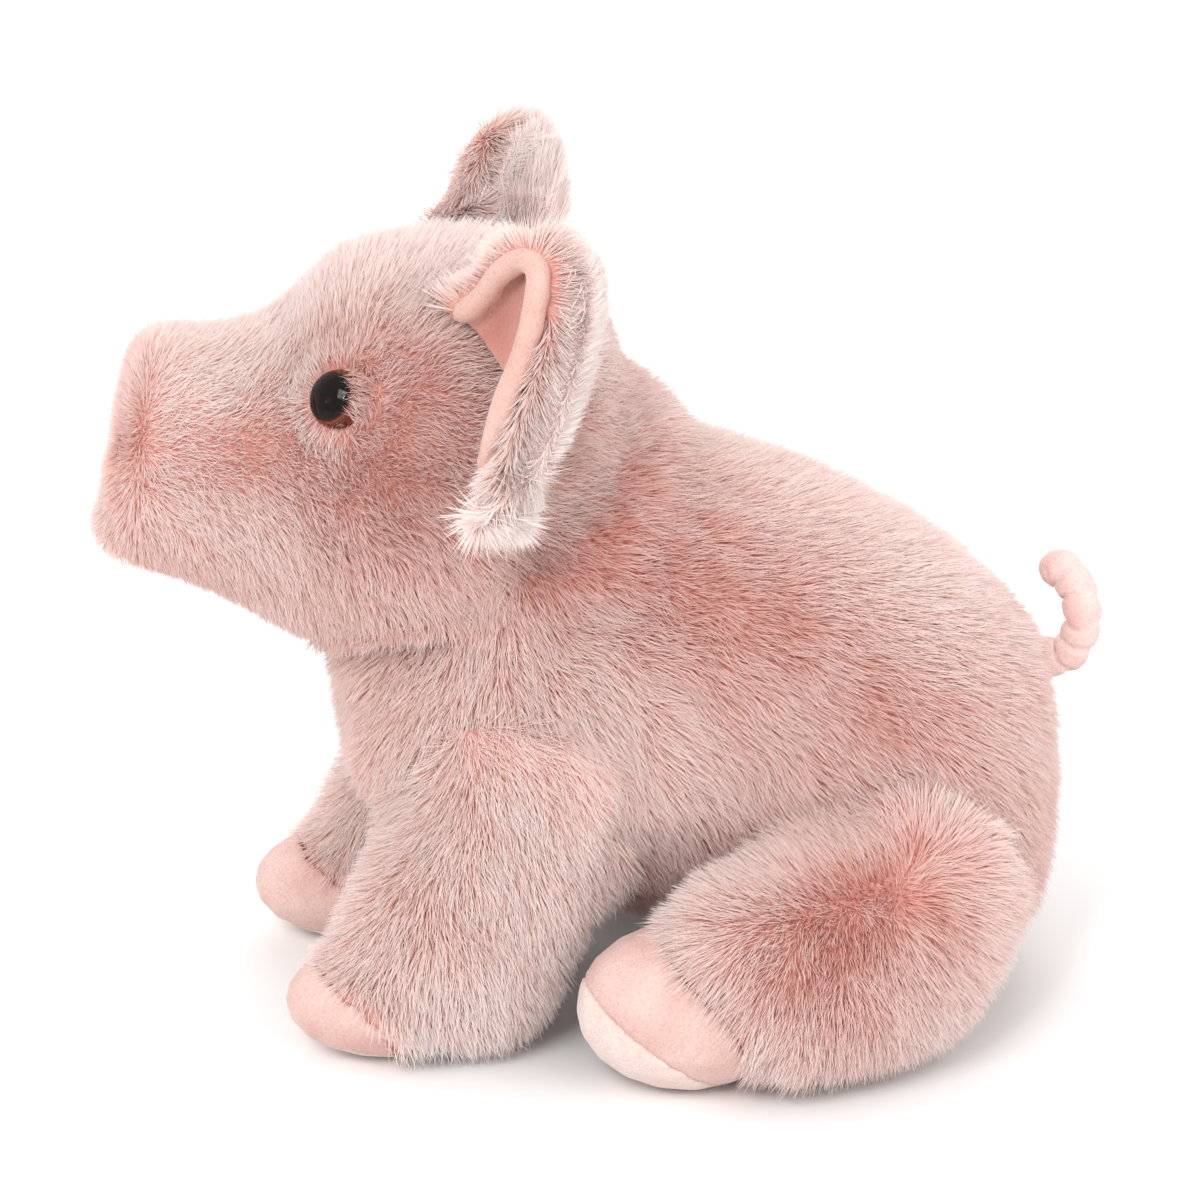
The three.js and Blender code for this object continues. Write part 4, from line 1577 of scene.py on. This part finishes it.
@dataclass
class HindLegForm(FurForm):
    """A hind leg folded along the flank, whose pile whorls out of the thigh."""

    whorl: Patch = Patch((0.079, -0.096, 0.064), 0.046, 0.42)
    lesser: Patch = Patch((0.046, -0.098, 0.042), 0.037, 0.38)
    whorl_stand: float = 38 * MM
    lesser_stand: float = 30 * MM
    astray_to: float = 60 * MM
    laid: float = 6.2 * MM
    stand_share: float = 0.66
    frost: float = 0.57
    foot_tint: float = 0.16
    foot: Span = (20 * MM, 60 * MM)

    def lean(self, co: Array, normals: Array) -> Array:
        """Less in the whorl."""
        stirred = self.whorl.near(co, self.whorl_stand) + 0.8 * self.lesser.near(co, self.lesser_stand)
        return self.laid * (1 - self.stand_share * np.clip(stirred, 0, 1))

    def comb(self, co: Array, normals: Array) -> Array:
        """Out of the whorl in every direction, and down at the heel.

        Args:
            co: points, one a row.
            normals: the normals there, one a row; not used here.

        Returns:
            Directions, one a row.
        """
        mirrored = np.array(self.whorl.centre) * np.array([1, -np.sign(co[:, 1].mean()), 1])
        away = unit(co - mirrored)
        away[:, 2] -= 0.6
        astray = np.column_stack([Waves(40 + k, 22 * MM).at(co) for k in range(3)])
        return unit(away + 0.9 * astray * self.whorl.near(co, self.astray_to)[:, None])

    def tint(self, co: Array, normals: Array) -> Array:
        """Deep in the whorl, pale toward the hoof and heel.

        Args:
            co: points, one a row.
            normals: the normals there, one a row; not used here.

        Returns:
            Values from 0 to 1, one a point.
        """
        deep = (self.whorl.at(co) + self.lesser.at(co)) * (0.85 + 0.6 * Waves(18, 11 * MM).at(co))
        pale = self.foot_tint * (1 - smooth(*self.foot, co[:, 0]))
        return np.clip(self.frost + pale - deep + self.uneven * Waves(14, 30 * MM).at(co), 0, 1)


@dataclass(frozen=True)
class EarBand:
    """The line along which the left ear's lining rolls over its rim, mirrored for the right ear."""

    points: tuple[Place, ...] = (
        (-41.5, -37, 208.8), (-34.8, -41, 215.5), (-29.7, -46, 224.7), (-24.5, -52, 229.6),
        (-21.4, -58, 228.2), (-23.0, -64, 219.8), (-26.3, -68, 209.2), (-31.7, -70, 196.8),
        (-35.0, -70, 186.6), (-36.8, -69, 179.0),
    )
    radius: float = 3.3 * MM
    front_arm: tuple[int, int] = (1, 31)
    rear_arm: tuple[int, int] = (66, 33)

    def line(self, side: int, count: int = 90) -> Array:
        """Evenly spaced points of the line on one side."""
        co = np.array(self.points) * MM * np.array([1, -side, 1])
        return curve_through(co, count)

    def sheet(self, side: int, depth: float, thick: float = 2 * MM, across: int = 21) -> tuple[Array, Array]:
        """The front and back points of the hollow sheet between the line's two arms, row by row.

        Args:
            side: the side's sign.
            depth: how deep the sheet bows.
            thick: how thick it is.
            across: how many points a row has.

        Returns:
            Both sides' points, each by row, place in the row and axis.
        """
        line = self.line(side)
        front = line[slice(*self.front_arm)]
        rear = line[np.linspace(*self.rear_arm, len(front)).round().astype(int)]
        t = np.linspace(0, 1, across)[None, :, None]
        bow = (6.75 * t * (1 - t) ** 2) * depth * np.array([0.25, -side, -0.35])
        top = front[:, None] * (1 - t) + rear[:, None] * t + bow
        normals = np.cross(np.gradient(top, axis=1), np.gradient(top, axis=0))
        normals /= np.maximum(np.linalg.norm(normals, axis=2, keepdims=True), 1e-12)
        return top, top + normals * thick * np.sign(-side * normals[..., 1].sum())

    def gap(self, side: int, co: Array) -> Array:
        """How far each point is from the line."""
        return nearest_gap(self.line(side), co)


@dataclass
class EarForm(FurForm):
    """The fur back of an ear."""

    band: EarBand = field(default_factory=EarBand)
    side: int = LEFT
    brim: float = 3.9 * MM
    brim_points: int = 52
    voxel: float = 1.8 * MM
    core_share: float = 0.72
    push: float = 6 * MM
    puff: float = 0.5 * MM
    least: float = 4.2 * MM
    hem: float = 2.0
    pile: float = 5.4 * MM
    tip_pile: float = 7.2 * MM
    laid: float = 7.0 * MM
    tip_laid: float = 7.4 * MM
    tip_heights: Span = (168 * MM, 200 * MM)
    swept_up: Span = (12 * MM, 18 * MM)
    edge: Span = (3 * MM, 11 * MM)
    rim_clear: Span = (2.4 * MM, 3.2 * MM)
    hollow_clear: Span = (3.5 * MM, 5 * MM)
    hollow: float = 7 * MM
    pale_from: Span = (6 * MM, 14 * MM)
    frost: float = 0.8
    back_tint: float = 0.16
    tip_tint: float = 0.1
    uneven: float = 0.06
    fineness: float = 2.3
    ruffle: float = 0.5
    slot: str = "ear_fur"

    def widen(self, piece: bpy.types.Object) -> None:
        """Carries the fur cloth on around the front arm of the rolled rim.

        Args:
            piece: the mesh object.
        """
        aside = np.array([0.5, -4.6 * self.side, 2.6]) * MM
        line = self.band.line(self.side)[: self.brim_points] + aside
        radii = self.brim * (0.55 + 0.45 * np.sin(np.linspace(0.25, math.pi - 0.3, len(line))))
        absorb(piece, tube_object("ear_brim", line, radii, 16))

    def rise(self, co: Array, normals: Array) -> Array:
        """Longer toward the tip."""
        return self.pile + (self.tip_pile - self.pile) * self.toward_tip(co)

    def lean(self, co: Array, normals: Array) -> Array:
        """Longer toward the tip, where the pile fans out."""
        return self.laid + (self.tip_laid - self.laid) * self.toward_tip(co)

    def toward_tip(self, co: Array) -> Array:
        """0 on the hood, 1 at the hanging tip."""
        return 1 - smooth(*self.tip_heights, co[:, 2])

    def comb(self, co: Array, normals: Array) -> Array:
        """Away from the rolled rim.

        Args:
            co: points, one a row.
            normals: the normals there, one a row; not used here.

        Returns:
            Directions, one a row.
        """
        line = self.band.line(self.side)
        nearest = line[((co[:, None] - line[None]) ** 2).sum(2).argmin(1)]
        away = unit(co - nearest)
        away[:, 2] -= 0.35
        behind = (smooth(*self.swept_up, self.from_band(co)) * (1 - self.toward_tip(co)))[:, None]
        return unit(away * (1 - behind) + np.array([0.1, 0.0, 1.0]) * behind)

    def from_band(self, co: Array) -> Array:
        """How far each point is from the rolled rim's line."""
        return self.band.gap(self.side, co)

    def inset(self, co: Array, rise: Array) -> Array:
        """Little beside the rolled rim, so that the pile starts at its edge."""
        return rise * (0.2 + 0.8 * smooth(*self.edge, self.from_band(co)))

    def cover(self, co: Array, normals: Array) -> Array:
        """Bare only under the rolled rim and its hollow.

        Args:
            co: points, one a row.
            normals: the normals there, one a row; not used here.

        Returns:
            Values of 0 and more, one a point.
        """
        hollow = self.band.sheet(self.side, self.hollow)[0].reshape(-1, 3)
        clear = smooth(*self.hollow_clear, nearest_gap(hollow, co))
        return smooth(*self.rim_clear, self.from_band(co)) * clear

    def tint(self, co: Array, normals: Array) -> Array:
        """Nearly white at the tip.

        Args:
            co: points, one a row.
            normals: the normals there, one a row; not used here.

        Returns:
            Values from 0 to 1, one a point.
        """
        pale = self.back_tint * smooth(*self.pale_from, self.from_band(co))
        pale += self.tip_tint * self.toward_tip(co)
        return np.clip(self.frost + pale + self.uneven * Waves(15, 30 * MM).at(co), 0, 1)


# Smooth plush pieces


@dataclass
class PlushCap:
    """A hoof or sole: a stuffed cap of short plush, drawn in where it is sewn to its neighbour."""

    node: str
    body: str
    neighbour: str
    cloth: Cloth
    slot: str
    voxel: float = 1.2 * MM
    lap: float = 0.4 * MM
    seam: Span = (0.5 * MM, 1.4 * MM)
    puff: float = 0.5 * MM

    def build(self) -> bpy.types.Object:
        """Builds the cap from its CAD form, pressed against its neighbour at the seam.

        Returns:
            The cap.
        """
        piece = merged_copy(f"{self.node}_plush", (self.node,))
        remeshed(piece, self.voxel)
        relaxed(piece, 6)
        co, normals = points_of(piece), normals_of(piece)
        near = 1 - smooth(*self.seam, distances(surface_of((self.neighbour,)), co))
        move_points(piece, co + normals * (self.lap * near)[:, None])
        relaxed(piece, 2)
        puffed(piece, self.puff)
        Shop.dress(piece, self.cloth)
        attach(piece, self.body)
        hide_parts(self.node)
        LOG.info("%s: %d faces", piece.name, len(piece.data.polygons))
        return piece


@dataclass
class EarLining:
    """The smooth lining that rolls over an ear's rim, puckered where it is sewn, with painted shade in its
    hollow.
    """

    side_name: str
    side: int
    band: EarBand = field(default_factory=EarBand)
    voxel: float = 0.8 * MM
    pucker: float = 0.3 * MM
    hollow: float = 8.5 * MM
    # how far from the rolled rim the hollow's painted shade sets in
    hollow_shade_from: Span = (3.2 * MM, 9 * MM)

    def roll(self) -> bpy.types.Object:
        """The rolled rim, a closed tube that narrows at the tip.

        Returns:
            The tube.
        """
        line = self.band.line(self.side)
        ends = np.concatenate([np.sqrt(1 - np.linspace(1, 0, 7) ** 2), np.ones(len(line) - 7)])
        run = np.linspace(0, 1, len(line))
        widths = self.band.radius * ends * (1 - 0.35 * smooth(0.75, 1, run))
        return tube_object("ear_roll", line, np.maximum(widths, 0.3 * MM), 18)

    def pocket(self) -> bpy.types.Object:
        """The hollow sheet between the two arms of the rolled rim.

        Returns:
            The sheet as a closed piece.
        """
        top, under = self.band.sheet(self.side, self.hollow)
        rows, across = top.shape[:2]
        co = np.vstack([top.reshape(-1, 3), under.reshape(-1, 3)])
        faces, half = [], rows * across
        for k in range(rows - 1):
            for j in range(across - 1):
                a = k * across + j
                quad = (a, a + 1, a + across + 1, a + across)
                faces += [quad, tuple(half + v for v in reversed(quad))]
        loop = [*range(across)] + [k * across + across - 1 for k in range(1, rows)]
        loop += [half - 2 - j for j in range(across - 1)] + [k * across for k in range(rows - 2, 0, -1)]
        faces += [(a, half + a, half + b, b) for a, b in zip(loop, loop[1:] + loop[:1])]
        piece = mesh_object("ear_pocket", co, faces)
        outward(piece)
        return piece

    def build(self) -> bpy.types.Object:
        """Builds the lining: its CAD form, rolled rim and hollow in one, puckered along the outer edge.

        Returns:
            The lining.
        """
        node = f"ear_lining_{self.side_name}"
        piece = merged_copy(f"{node}_plush", (node,))
        absorb(piece, self.roll())
        absorb(piece, self.pocket())
        remeshed(piece, self.voxel)
        relaxed(piece, 8)
        co, normals = points_of(piece), normals_of(piece)
        folds = Waves(21, 9 * MM).at(co) * 0.5 + Waves(22, 4 * MM).at(co) * 0.5
        outer = smooth(-0.2, 0.7, normals[:, 0])
        move_points(piece, co + normals * (self.pucker * folds * (0.25 + outer))[:, None])
        relaxed(piece, 2)
        # marks the hollow away from the rolled rim for its painted shade
        shade = piece.data.attributes.new("hollow_shade", "FLOAT", "POINT")
        shade.data.foreach_set("value", smooth(*self.hollow_shade_from, self.band.gap(self.side, points_of(piece))))
        Shop.dress(piece, Cloth.LINING)
        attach(piece, f"ear_{self.side_name}")
        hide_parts(node)
        LOG.info("%s: %d faces", piece.name, len(piece.data.polygons))
        return piece


@dataclass
class GatheredTail:
    """The tail: a tube of short plush, gathered on a thread so that it curls and puckers."""

    root: Place = (118.007 * MM, 0.0, 89 * MM)
    height: float = 28 * MM
    girth: float = 10.4 * MM
    root_girth: float = 14 * MM
    root_share: float = 0.33
    tip_share: float = 0.17
    gathers: float = 8.5
    depth: float = 0.25
    fullness: float = 1.05
    around: int = 40
    along: int = 190
    shares: tuple[Place, ...] = (
        (-0.3, 0, 0.04), (0, 0, 0.04), (0.27, 0, 0.03), (0.48, -0.07, 0.1), (0.58, -0.17, 0.38),
        (0.58, -0.13, 0.68), (0.48, 0.07, 0.89), (0.38, 0.19, 0.9), (0.34, 0.12, 0.74),
    )

    def path(self) -> Array:
        """The points of the tail's middle line, evenly spaced."""
        return curve_through(np.array(self.root) + np.array(self.shares) * self.height, self.along + 1)

    def rings(self, line: Array, ahead: Array) -> list[Array]:
        """The rings of the gathered tube.

        Args:
            line: the points of the tail's middle line.
            ahead: its direction at each of them.

        Returns:
            The points of each ring.
        """
        wobble, pinch = Waves(31, 9 * MM), Waves(32, 5 * MM)
        turn = (2 * np.pi * np.arange(self.around) / self.around)[:, None]
        aside = np.array([0.0, 1.0, 0.0])
        rows = []
        for k, (centre, forward) in enumerate(zip(line, ahead)):
            aside = aside - forward * (aside @ forward)
            aside /= np.linalg.norm(aside)
            share = k / self.along
            widen = max(0.0, 1 - share / self.root_share)
            narrow = max(0.0, (share - 1) / self.tip_share + 1)
            radius = (self.girth + (self.root_girth - self.girth) * widen) / 2
            radius *= math.sqrt(max(1 - narrow**2.2, 0.02))
            ring = centre + radius * (np.cos(turn) * aside + np.sin(turn) * np.cross(forward, aside))
            phase = share * self.gathers + 0.22 * wobble.at(ring)
            fold = (0.5 + 0.5 * np.cos(2 * np.pi * phase)) ** 3 * (0.75 + 0.25 * pinch.at(ring))
            swell = self.fullness - self.depth * fold * (1 - narrow)
            rows.append(centre + (ring - centre) * swell[:, None])
        return rows

    def build(self) -> bpy.types.Object:
        """Builds the tube from its rings and closes its ends.

        Returns:
            The tail.
        """
        line = self.path()
        ahead = unit(np.gradient(line, axis=0))
        co = np.vstack([*self.rings(line, ahead), line[0], line[-1] + ahead[-1] * 0.6 * MM])
        faces = tube_faces(self.along + 1, self.around)
        piece = mesh_object("tail_plush", co, faces)
        outward(piece)
        relaxed(piece, 1)
        Shop.dress(piece, Cloth.TAIL)
        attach(piece, "tail")
        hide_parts("tail")
        LOG.info("tail_plush: %d faces", len(piece.data.polygons))
        return piece


# Eyes and nostrils


@dataclass
class Eye:
    """A safety eye: a clear dome over a painted back with its shank."""

    side_name: str
    radius: float = 8 * MM
    dome: float = 5 * MM
    dome_steps: int = 14
    under: float = 0.1 * MM
    paint: float = 0.12 * MM
    shank: float = 2.25 * MM
    shank_length: float = 12 * MM
    cast: Place = (1.6 * MM, 0.0, -0.9 * MM)
    around: int = 56
    seat: Array = field(init=False)
    axis: Array = field(init=False)

    def __post_init__(self) -> None:
        """Finds where the eye sits and looks from its CAD dome."""
        co = points_of(frame["nodes"][f"eye_lens_{self.side_name}"])
        middle = co.mean(0)
        _, _, turns = np.linalg.svd(co - middle, full_matrices=False)
        self.axis = turns[2] * np.sign(turns[2][1]) * SIDES[self.side_name]
        self.seat = middle + self.axis * ((co - middle) @ self.axis).min()

    def turned(self, name: str, profile: list[Span]) -> bpy.types.Object:
        """Turns a profile about the eye's axis into a closed piece.

        Args:
            name: the piece's name.
            profile: the radius and height of each ring, 0 wide where it closes.

        Returns:
            The piece.
        """
        first = np.cross(self.axis, [0.0, 0.0, 1.0])
        first /= np.linalg.norm(first)
        second = np.cross(self.axis, first)
        co, faces, rings = [], [], []
        for radius, height in profile:
            if radius == 0:
                co.append(self.seat + self.axis * height)
                rings.append([len(co) - 1] * self.around)
                continue
            start = len(co)
            for k in range(self.around):
                a = 2 * math.pi * k / self.around
                spread = radius * (math.cos(a) * first + math.sin(a) * second)
                co.append(self.seat + self.axis * height + spread)
            rings.append(list(range(start, start + self.around)))
        for low, high in zip(rings, rings[1:]):
            for k in range(self.around):
                n = (k + 1) % self.around
                faces.append(tuple(dict.fromkeys([low[k], low[n], high[n], high[k]])))
        piece = mesh_object(name, co, faces)
        outward(piece)
        return piece

    def clear_dome(self) -> bpy.types.Object:
        """Builds the clear dome as one closed piece.

        Returns:
            The dome.
        """
        turns = np.linspace(0, math.pi / 2, self.dome_steps)[1:]
        arc = [(self.radius * math.sin(a), self.dome * math.cos(a)) for a in turns]
        flat = [(self.radius, -self.under), (0.0, -self.under)]
        return self.turned(f"eye_dome_{self.side_name}", [(0.0, self.dome), *arc, *flat])

    def painted_back(self) -> bpy.types.Object:
        """Builds the back and its shank, with a map of how far the paint is from the pupil's middle.

        Returns:
            The back as one closed piece.
        """
        rim, low, end = 0.99 * self.radius, -1.7 * MM, -self.shank_length
        face = [(self.radius * share, -self.paint) for share in (0.0, *np.linspace(0.1, 0.99, 9))]
        rest = [(rim, low), (self.shank, low), (self.shank, end), (0.0, end)]
        back = self.turned(f"eye_iris_{self.side_name}", [*face, *rest])
        middle = self.seat + np.array(self.cast)
        reach = np.linalg.norm(np.cross(points_of(back) - middle, self.axis), axis=1) / self.radius
        chart = back.data.uv_layers.new(name="reach")
        corners = np.empty(len(back.data.loops), int)
        back.data.loops.foreach_get("vertex_index", corners)
        chart.data.foreach_set("uv", np.column_stack([reach[corners], np.zeros(len(corners))]).ravel())
        return back

    def build(self) -> None:
        """Builds the dome and the painted back, and dresses them and the washer."""
        for piece, cloth, node, slot in (
            (self.clear_dome(), Cloth.DOME, "eye_lens", "amber_plastic"),
            (self.painted_back(), Cloth.IRIS, "eye_back", "black_plastic"),
        ):
            Shop.dress(piece, cloth)
            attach(piece, "head")
            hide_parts(f"{node}_{self.side_name}")
            LOG.info("%s: %d faces", piece.name, len(piece.data.polygons))
        Shop.dress(frame["nodes"][f"eye_washer_{self.side_name}"], Cloth.WASHER)


@dataclass
class Nostril:
    """A small embroidered nostril: satin stitches laid side by side over a low pad."""

    side_name: str
    stitches: int = 13
    thread: float = 0.42 * MM
    sunk: float = 4.7 * MM
    raised: float = 1.2 * MM
    across: int = 12
    turns: int = 8

    def build(self) -> bpy.types.Object:
        """Builds the stitches as one piece of closed threads.

        Returns:
            The piece.
        """
        low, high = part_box(f"nostril_{self.side_name}")
        middle = np.array((low + high) / 2)
        middle[0] = low[0] + self.sunk
        half_width, half_height = (high[1] - low[1]) / 2, (high[2] - low[2]) / 2
        co, faces = [], []
        for k in range(self.stitches):
            up = (k + 0.5) / self.stitches * 2 - 1
            reach = half_width * math.sqrt(1 - up * up * 0.96)
            line = []
            for t in np.linspace(-1, 1, self.across + 1):
                bulge = math.sqrt(max(1 - t * t, 0)) * math.sqrt(1 - 0.8 * up * up)
                line.append(middle + [-self.raised * bulge, t * reach, up * half_height])
            self.tube(co, faces, np.array(line))
        piece = mesh_object(f"nostril_stitches_{self.side_name}", co, faces)
        outward(piece)
        Shop.dress(piece, Cloth.THREAD)
        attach(piece, "head")
        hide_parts(f"nostril_{self.side_name}")
        LOG.info("%s: %d faces", piece.name, len(piece.data.polygons))
        return piece

    def tube(self, co: list[Array], faces: Faces, line: Array) -> None:
        """Adds one closed thread along a line.

        Args:
            co: the points so far, which grow.
            faces: the faces so far, which grow.
            line: the thread's middle line.
        """
        start = len(co)
        ahead = unit(np.gradient(line, axis=0))
        for centre, forward in zip(line, ahead):
            side = unit(np.cross(forward, [0.0, 0.0, 1.0])[None])[0]
            third = np.cross(forward, side)
            for j in range(self.turns):
                a = 2 * math.pi * j / self.turns
                co.append(centre + self.thread * (math.cos(a) * side + math.sin(a) * third))
        for k in range(len(line) - 1):
            for j in range(self.turns):
                n = (j + 1) % self.turns
                a, b = start + k * self.turns, start + (k + 1) * self.turns
                faces.append((a + j, a + n, b + n, b + j))
        last = start + (len(line) - 1) * self.turns
        faces.append(tuple(start + j for j in reversed(range(self.turns))))
        faces.append(tuple(last + j for j in range(self.turns)))


# The studio


@dataclass
class Studio:
    """The pale floor, the soft lamps, the white surround and the camera."""

    target: Place = (0.0009, 0.0, 0.1122)
    azimuth: float = -6.0
    elevation: float = 22.0
    distance: float = 1.8
    width_seen: float = 0.330
    sensor: float = 36.0
    ambient: float = 0.94
    floor_half: float = 6.0

    def build(self) -> None:
        """Builds the whole studio."""
        self.camera()
        self.surround()
        self.floor()
        self.lamp("key", (-0.9, -1.5, 1.7), 0.9, 17)
        self.lamp("spark", (-0.6, -1.6, 1.35), 0.12, 3.2)
        self.lamp("fill", (1.5, -1.2, 1.2), 1.4, 8)
        self.lamp("rim", (0.3, 1.6, 1.4), 1.4, 9)
        bpy.context.scene.view_settings.view_transform = "Standard"

    def camera(self) -> None:
        """Places the camera at the photograph's viewing angle."""
        data = bpy.data.cameras.new("camera")
        data.sensor_width = self.sensor
        data.lens = self.sensor * self.distance / self.width_seen
        data.clip_start, data.clip_end = 0.05, 20
        a, e = math.radians(self.azimuth), math.radians(self.elevation)
        away = Vector((math.sin(a) * math.cos(e), -math.cos(a) * math.cos(e), math.sin(e)))
        camera = bpy.data.objects.new("camera", data)
        camera.location = Vector(self.target) + away * self.distance
        camera.rotation_euler = away.to_track_quat("Z", "Y").to_euler()
        bpy.context.scene.collection.objects.link(camera)
        bpy.context.scene.camera = camera

    def lamp(self, name: str, place: Place, size: float, power: float) -> None:
        """Adds a soft lamp that faces the object.

        Args:
            name: the lamp's name.
            place: where it hangs.
            size: the side of its square face.
            power: how strong it is, in watts.
        """
        data = bpy.data.lights.new(name, "AREA")
        data.size = size
        data.energy = power
        lamp = bpy.data.objects.new(name, data)
        lamp.location = place
        lamp.rotation_euler = (Vector(place) - Vector(self.target)).to_track_quat("Z", "Y").to_euler()
        bpy.context.scene.collection.objects.link(lamp)

    def surround(self) -> None:
        """Lights the object evenly, and shows white to the camera and in gloss and glass."""
        world = bpy.data.worlds.new("surround")
        bpy.context.scene.world = world
        world.use_nodes = True
        nodes, links = world.node_tree.nodes, world.node_tree.links
        path = nodes.new("ShaderNodeLightPath")
        seen = path.outputs["Is Camera Ray"]
        for name in ("Is Glossy Ray", "Is Transmission Ray"):
            both = nodes.new("ShaderNodeMath")
            both.operation = "MAXIMUM"
            links.new(seen, both.inputs[0])
            links.new(path.outputs[name], both.inputs[1])
            seen = both.outputs[0]
        strength = nodes.new("ShaderNodeMapRange")
        strength.inputs["To Min"].default_value = self.ambient
        strength.inputs["To Max"].default_value = 1.0
        links.new(seen, strength.inputs["Value"])
        background = nodes["Background"]
        background.inputs["Color"].default_value = (1, 1, 1, 1)
        links.new(strength.outputs["Result"], background.inputs["Strength"])

    def floor(self) -> None:
        """Lays a pale floor that keeps the object's shadow."""
        half = self.floor_half
        corners = np.array([(-half, -half, 0), (half, -half, 0), (half, half, 0), (-half, half, 0)])
        floor = mesh_object("floor", corners, [(0, 1, 2, 3)])
        nodes = Nodes("floor_paper")
        path = nodes.add("ShaderNodeLightPath").outputs["Is Camera Ray"]
        paper = nodes.ramp(nodes.noise(6, 2), [(0.2, (0.86, 0.86, 0.86)), (0.8, (0.88, 0.88, 0.88))])
        nodes.set(Base_Color=nodes.mix(path, paper, (1.0, 1.0, 1.0)), Roughness=0.9, Specular_IOR_Level=0.0)
        floor.data.materials.append(nodes.material)


# The piglet


class Piglet:
    """The whole toy, built from its sewn forms."""

    def __init__(self) -> None:
        """Sets out the eyes and what grows the pile."""
        self.groomer = Groomer()
        self.eyes = [Eye(side_name) for side_name in SIDES]

    def build(self) -> None:
        """Builds every sub-assembly in order."""
        for eye in self.eyes:
            eye.build()
        TorsoForm("torso_skin", "torso", ("body",), seed=100).build(self.groomer)
        self.head().build(self.groomer)
        for side_name, side in SIDES.items():
            self.ear(side_name, side)
            self.legs(side_name, side)
            Nostril(side_name).build()
        GatheredTail().build()
        self.groomer.finish()

    def head(self) -> HeadForm:
        """The head's form, with its eyes and nostrils taken in.

        Returns:
            The form.
        """
        plugs = tuple(f"{part}_{side}" for part in ("nostril", "eye_back", "eye_washer") for side in SIDES)
        nodes = ("head", "nose_panel")
        return HeadForm("head_skin", "head", nodes, plugs=plugs, carriers=("body",), seed=200, eyes=self.eyes)

    def ear(self, side_name: str, side: int) -> None:
        """Builds one ear with its lining.

        Args:
            side_name: the side's name.
            side: the side's sign.
        """
        EarForm(
            f"ear_skin_{side_name}", f"ear_{side_name}", (f"ear_back_{side_name}",), carriers=("head",),
            riders=(f"ear_lining_{side_name}",), seed=300 + side, side=side,
        ).build(self.groomer)
        EarLining(side_name, side).build()

    def legs(self, side_name: str, side: int) -> None:
        """Builds one side's legs with their hooves and soles.

        Args:
            side_name: the side's name.
            side: the side's sign.
        """
        for kind, end, seed in ((FrontLegForm, "front", 400), (HindLegForm, "hind", 500)):
            leg = f"{end}_leg_{side_name}"
            riders = (f"{end}_hoof_{side_name}", f"{end}_sole_{side_name}")
            name = f"{end}_leg_skin_{side_name}"
            kind(name, leg, (leg,), carriers=("body",), riders=riders, seed=seed + side).build(self.groomer)
        for end in ("front", "hind"):
            leg, hoof, sole = (f"{end}_{part}_{side_name}" for part in ("leg", "hoof", "sole"))
            PlushCap(hoof, leg, sole, Cloth.HOOF, "smooth_plush").build()
            PlushCap(sole, leg, hoof, Cloth.SOLE, "sole_plush").build()


def main() -> None:
    """Builds the studio and the piglet."""
    logging.basicConfig(level=logging.INFO, format="%(message)s")
    Studio().build()
    Piglet().build()


if __name__ == "__main__":
    main()
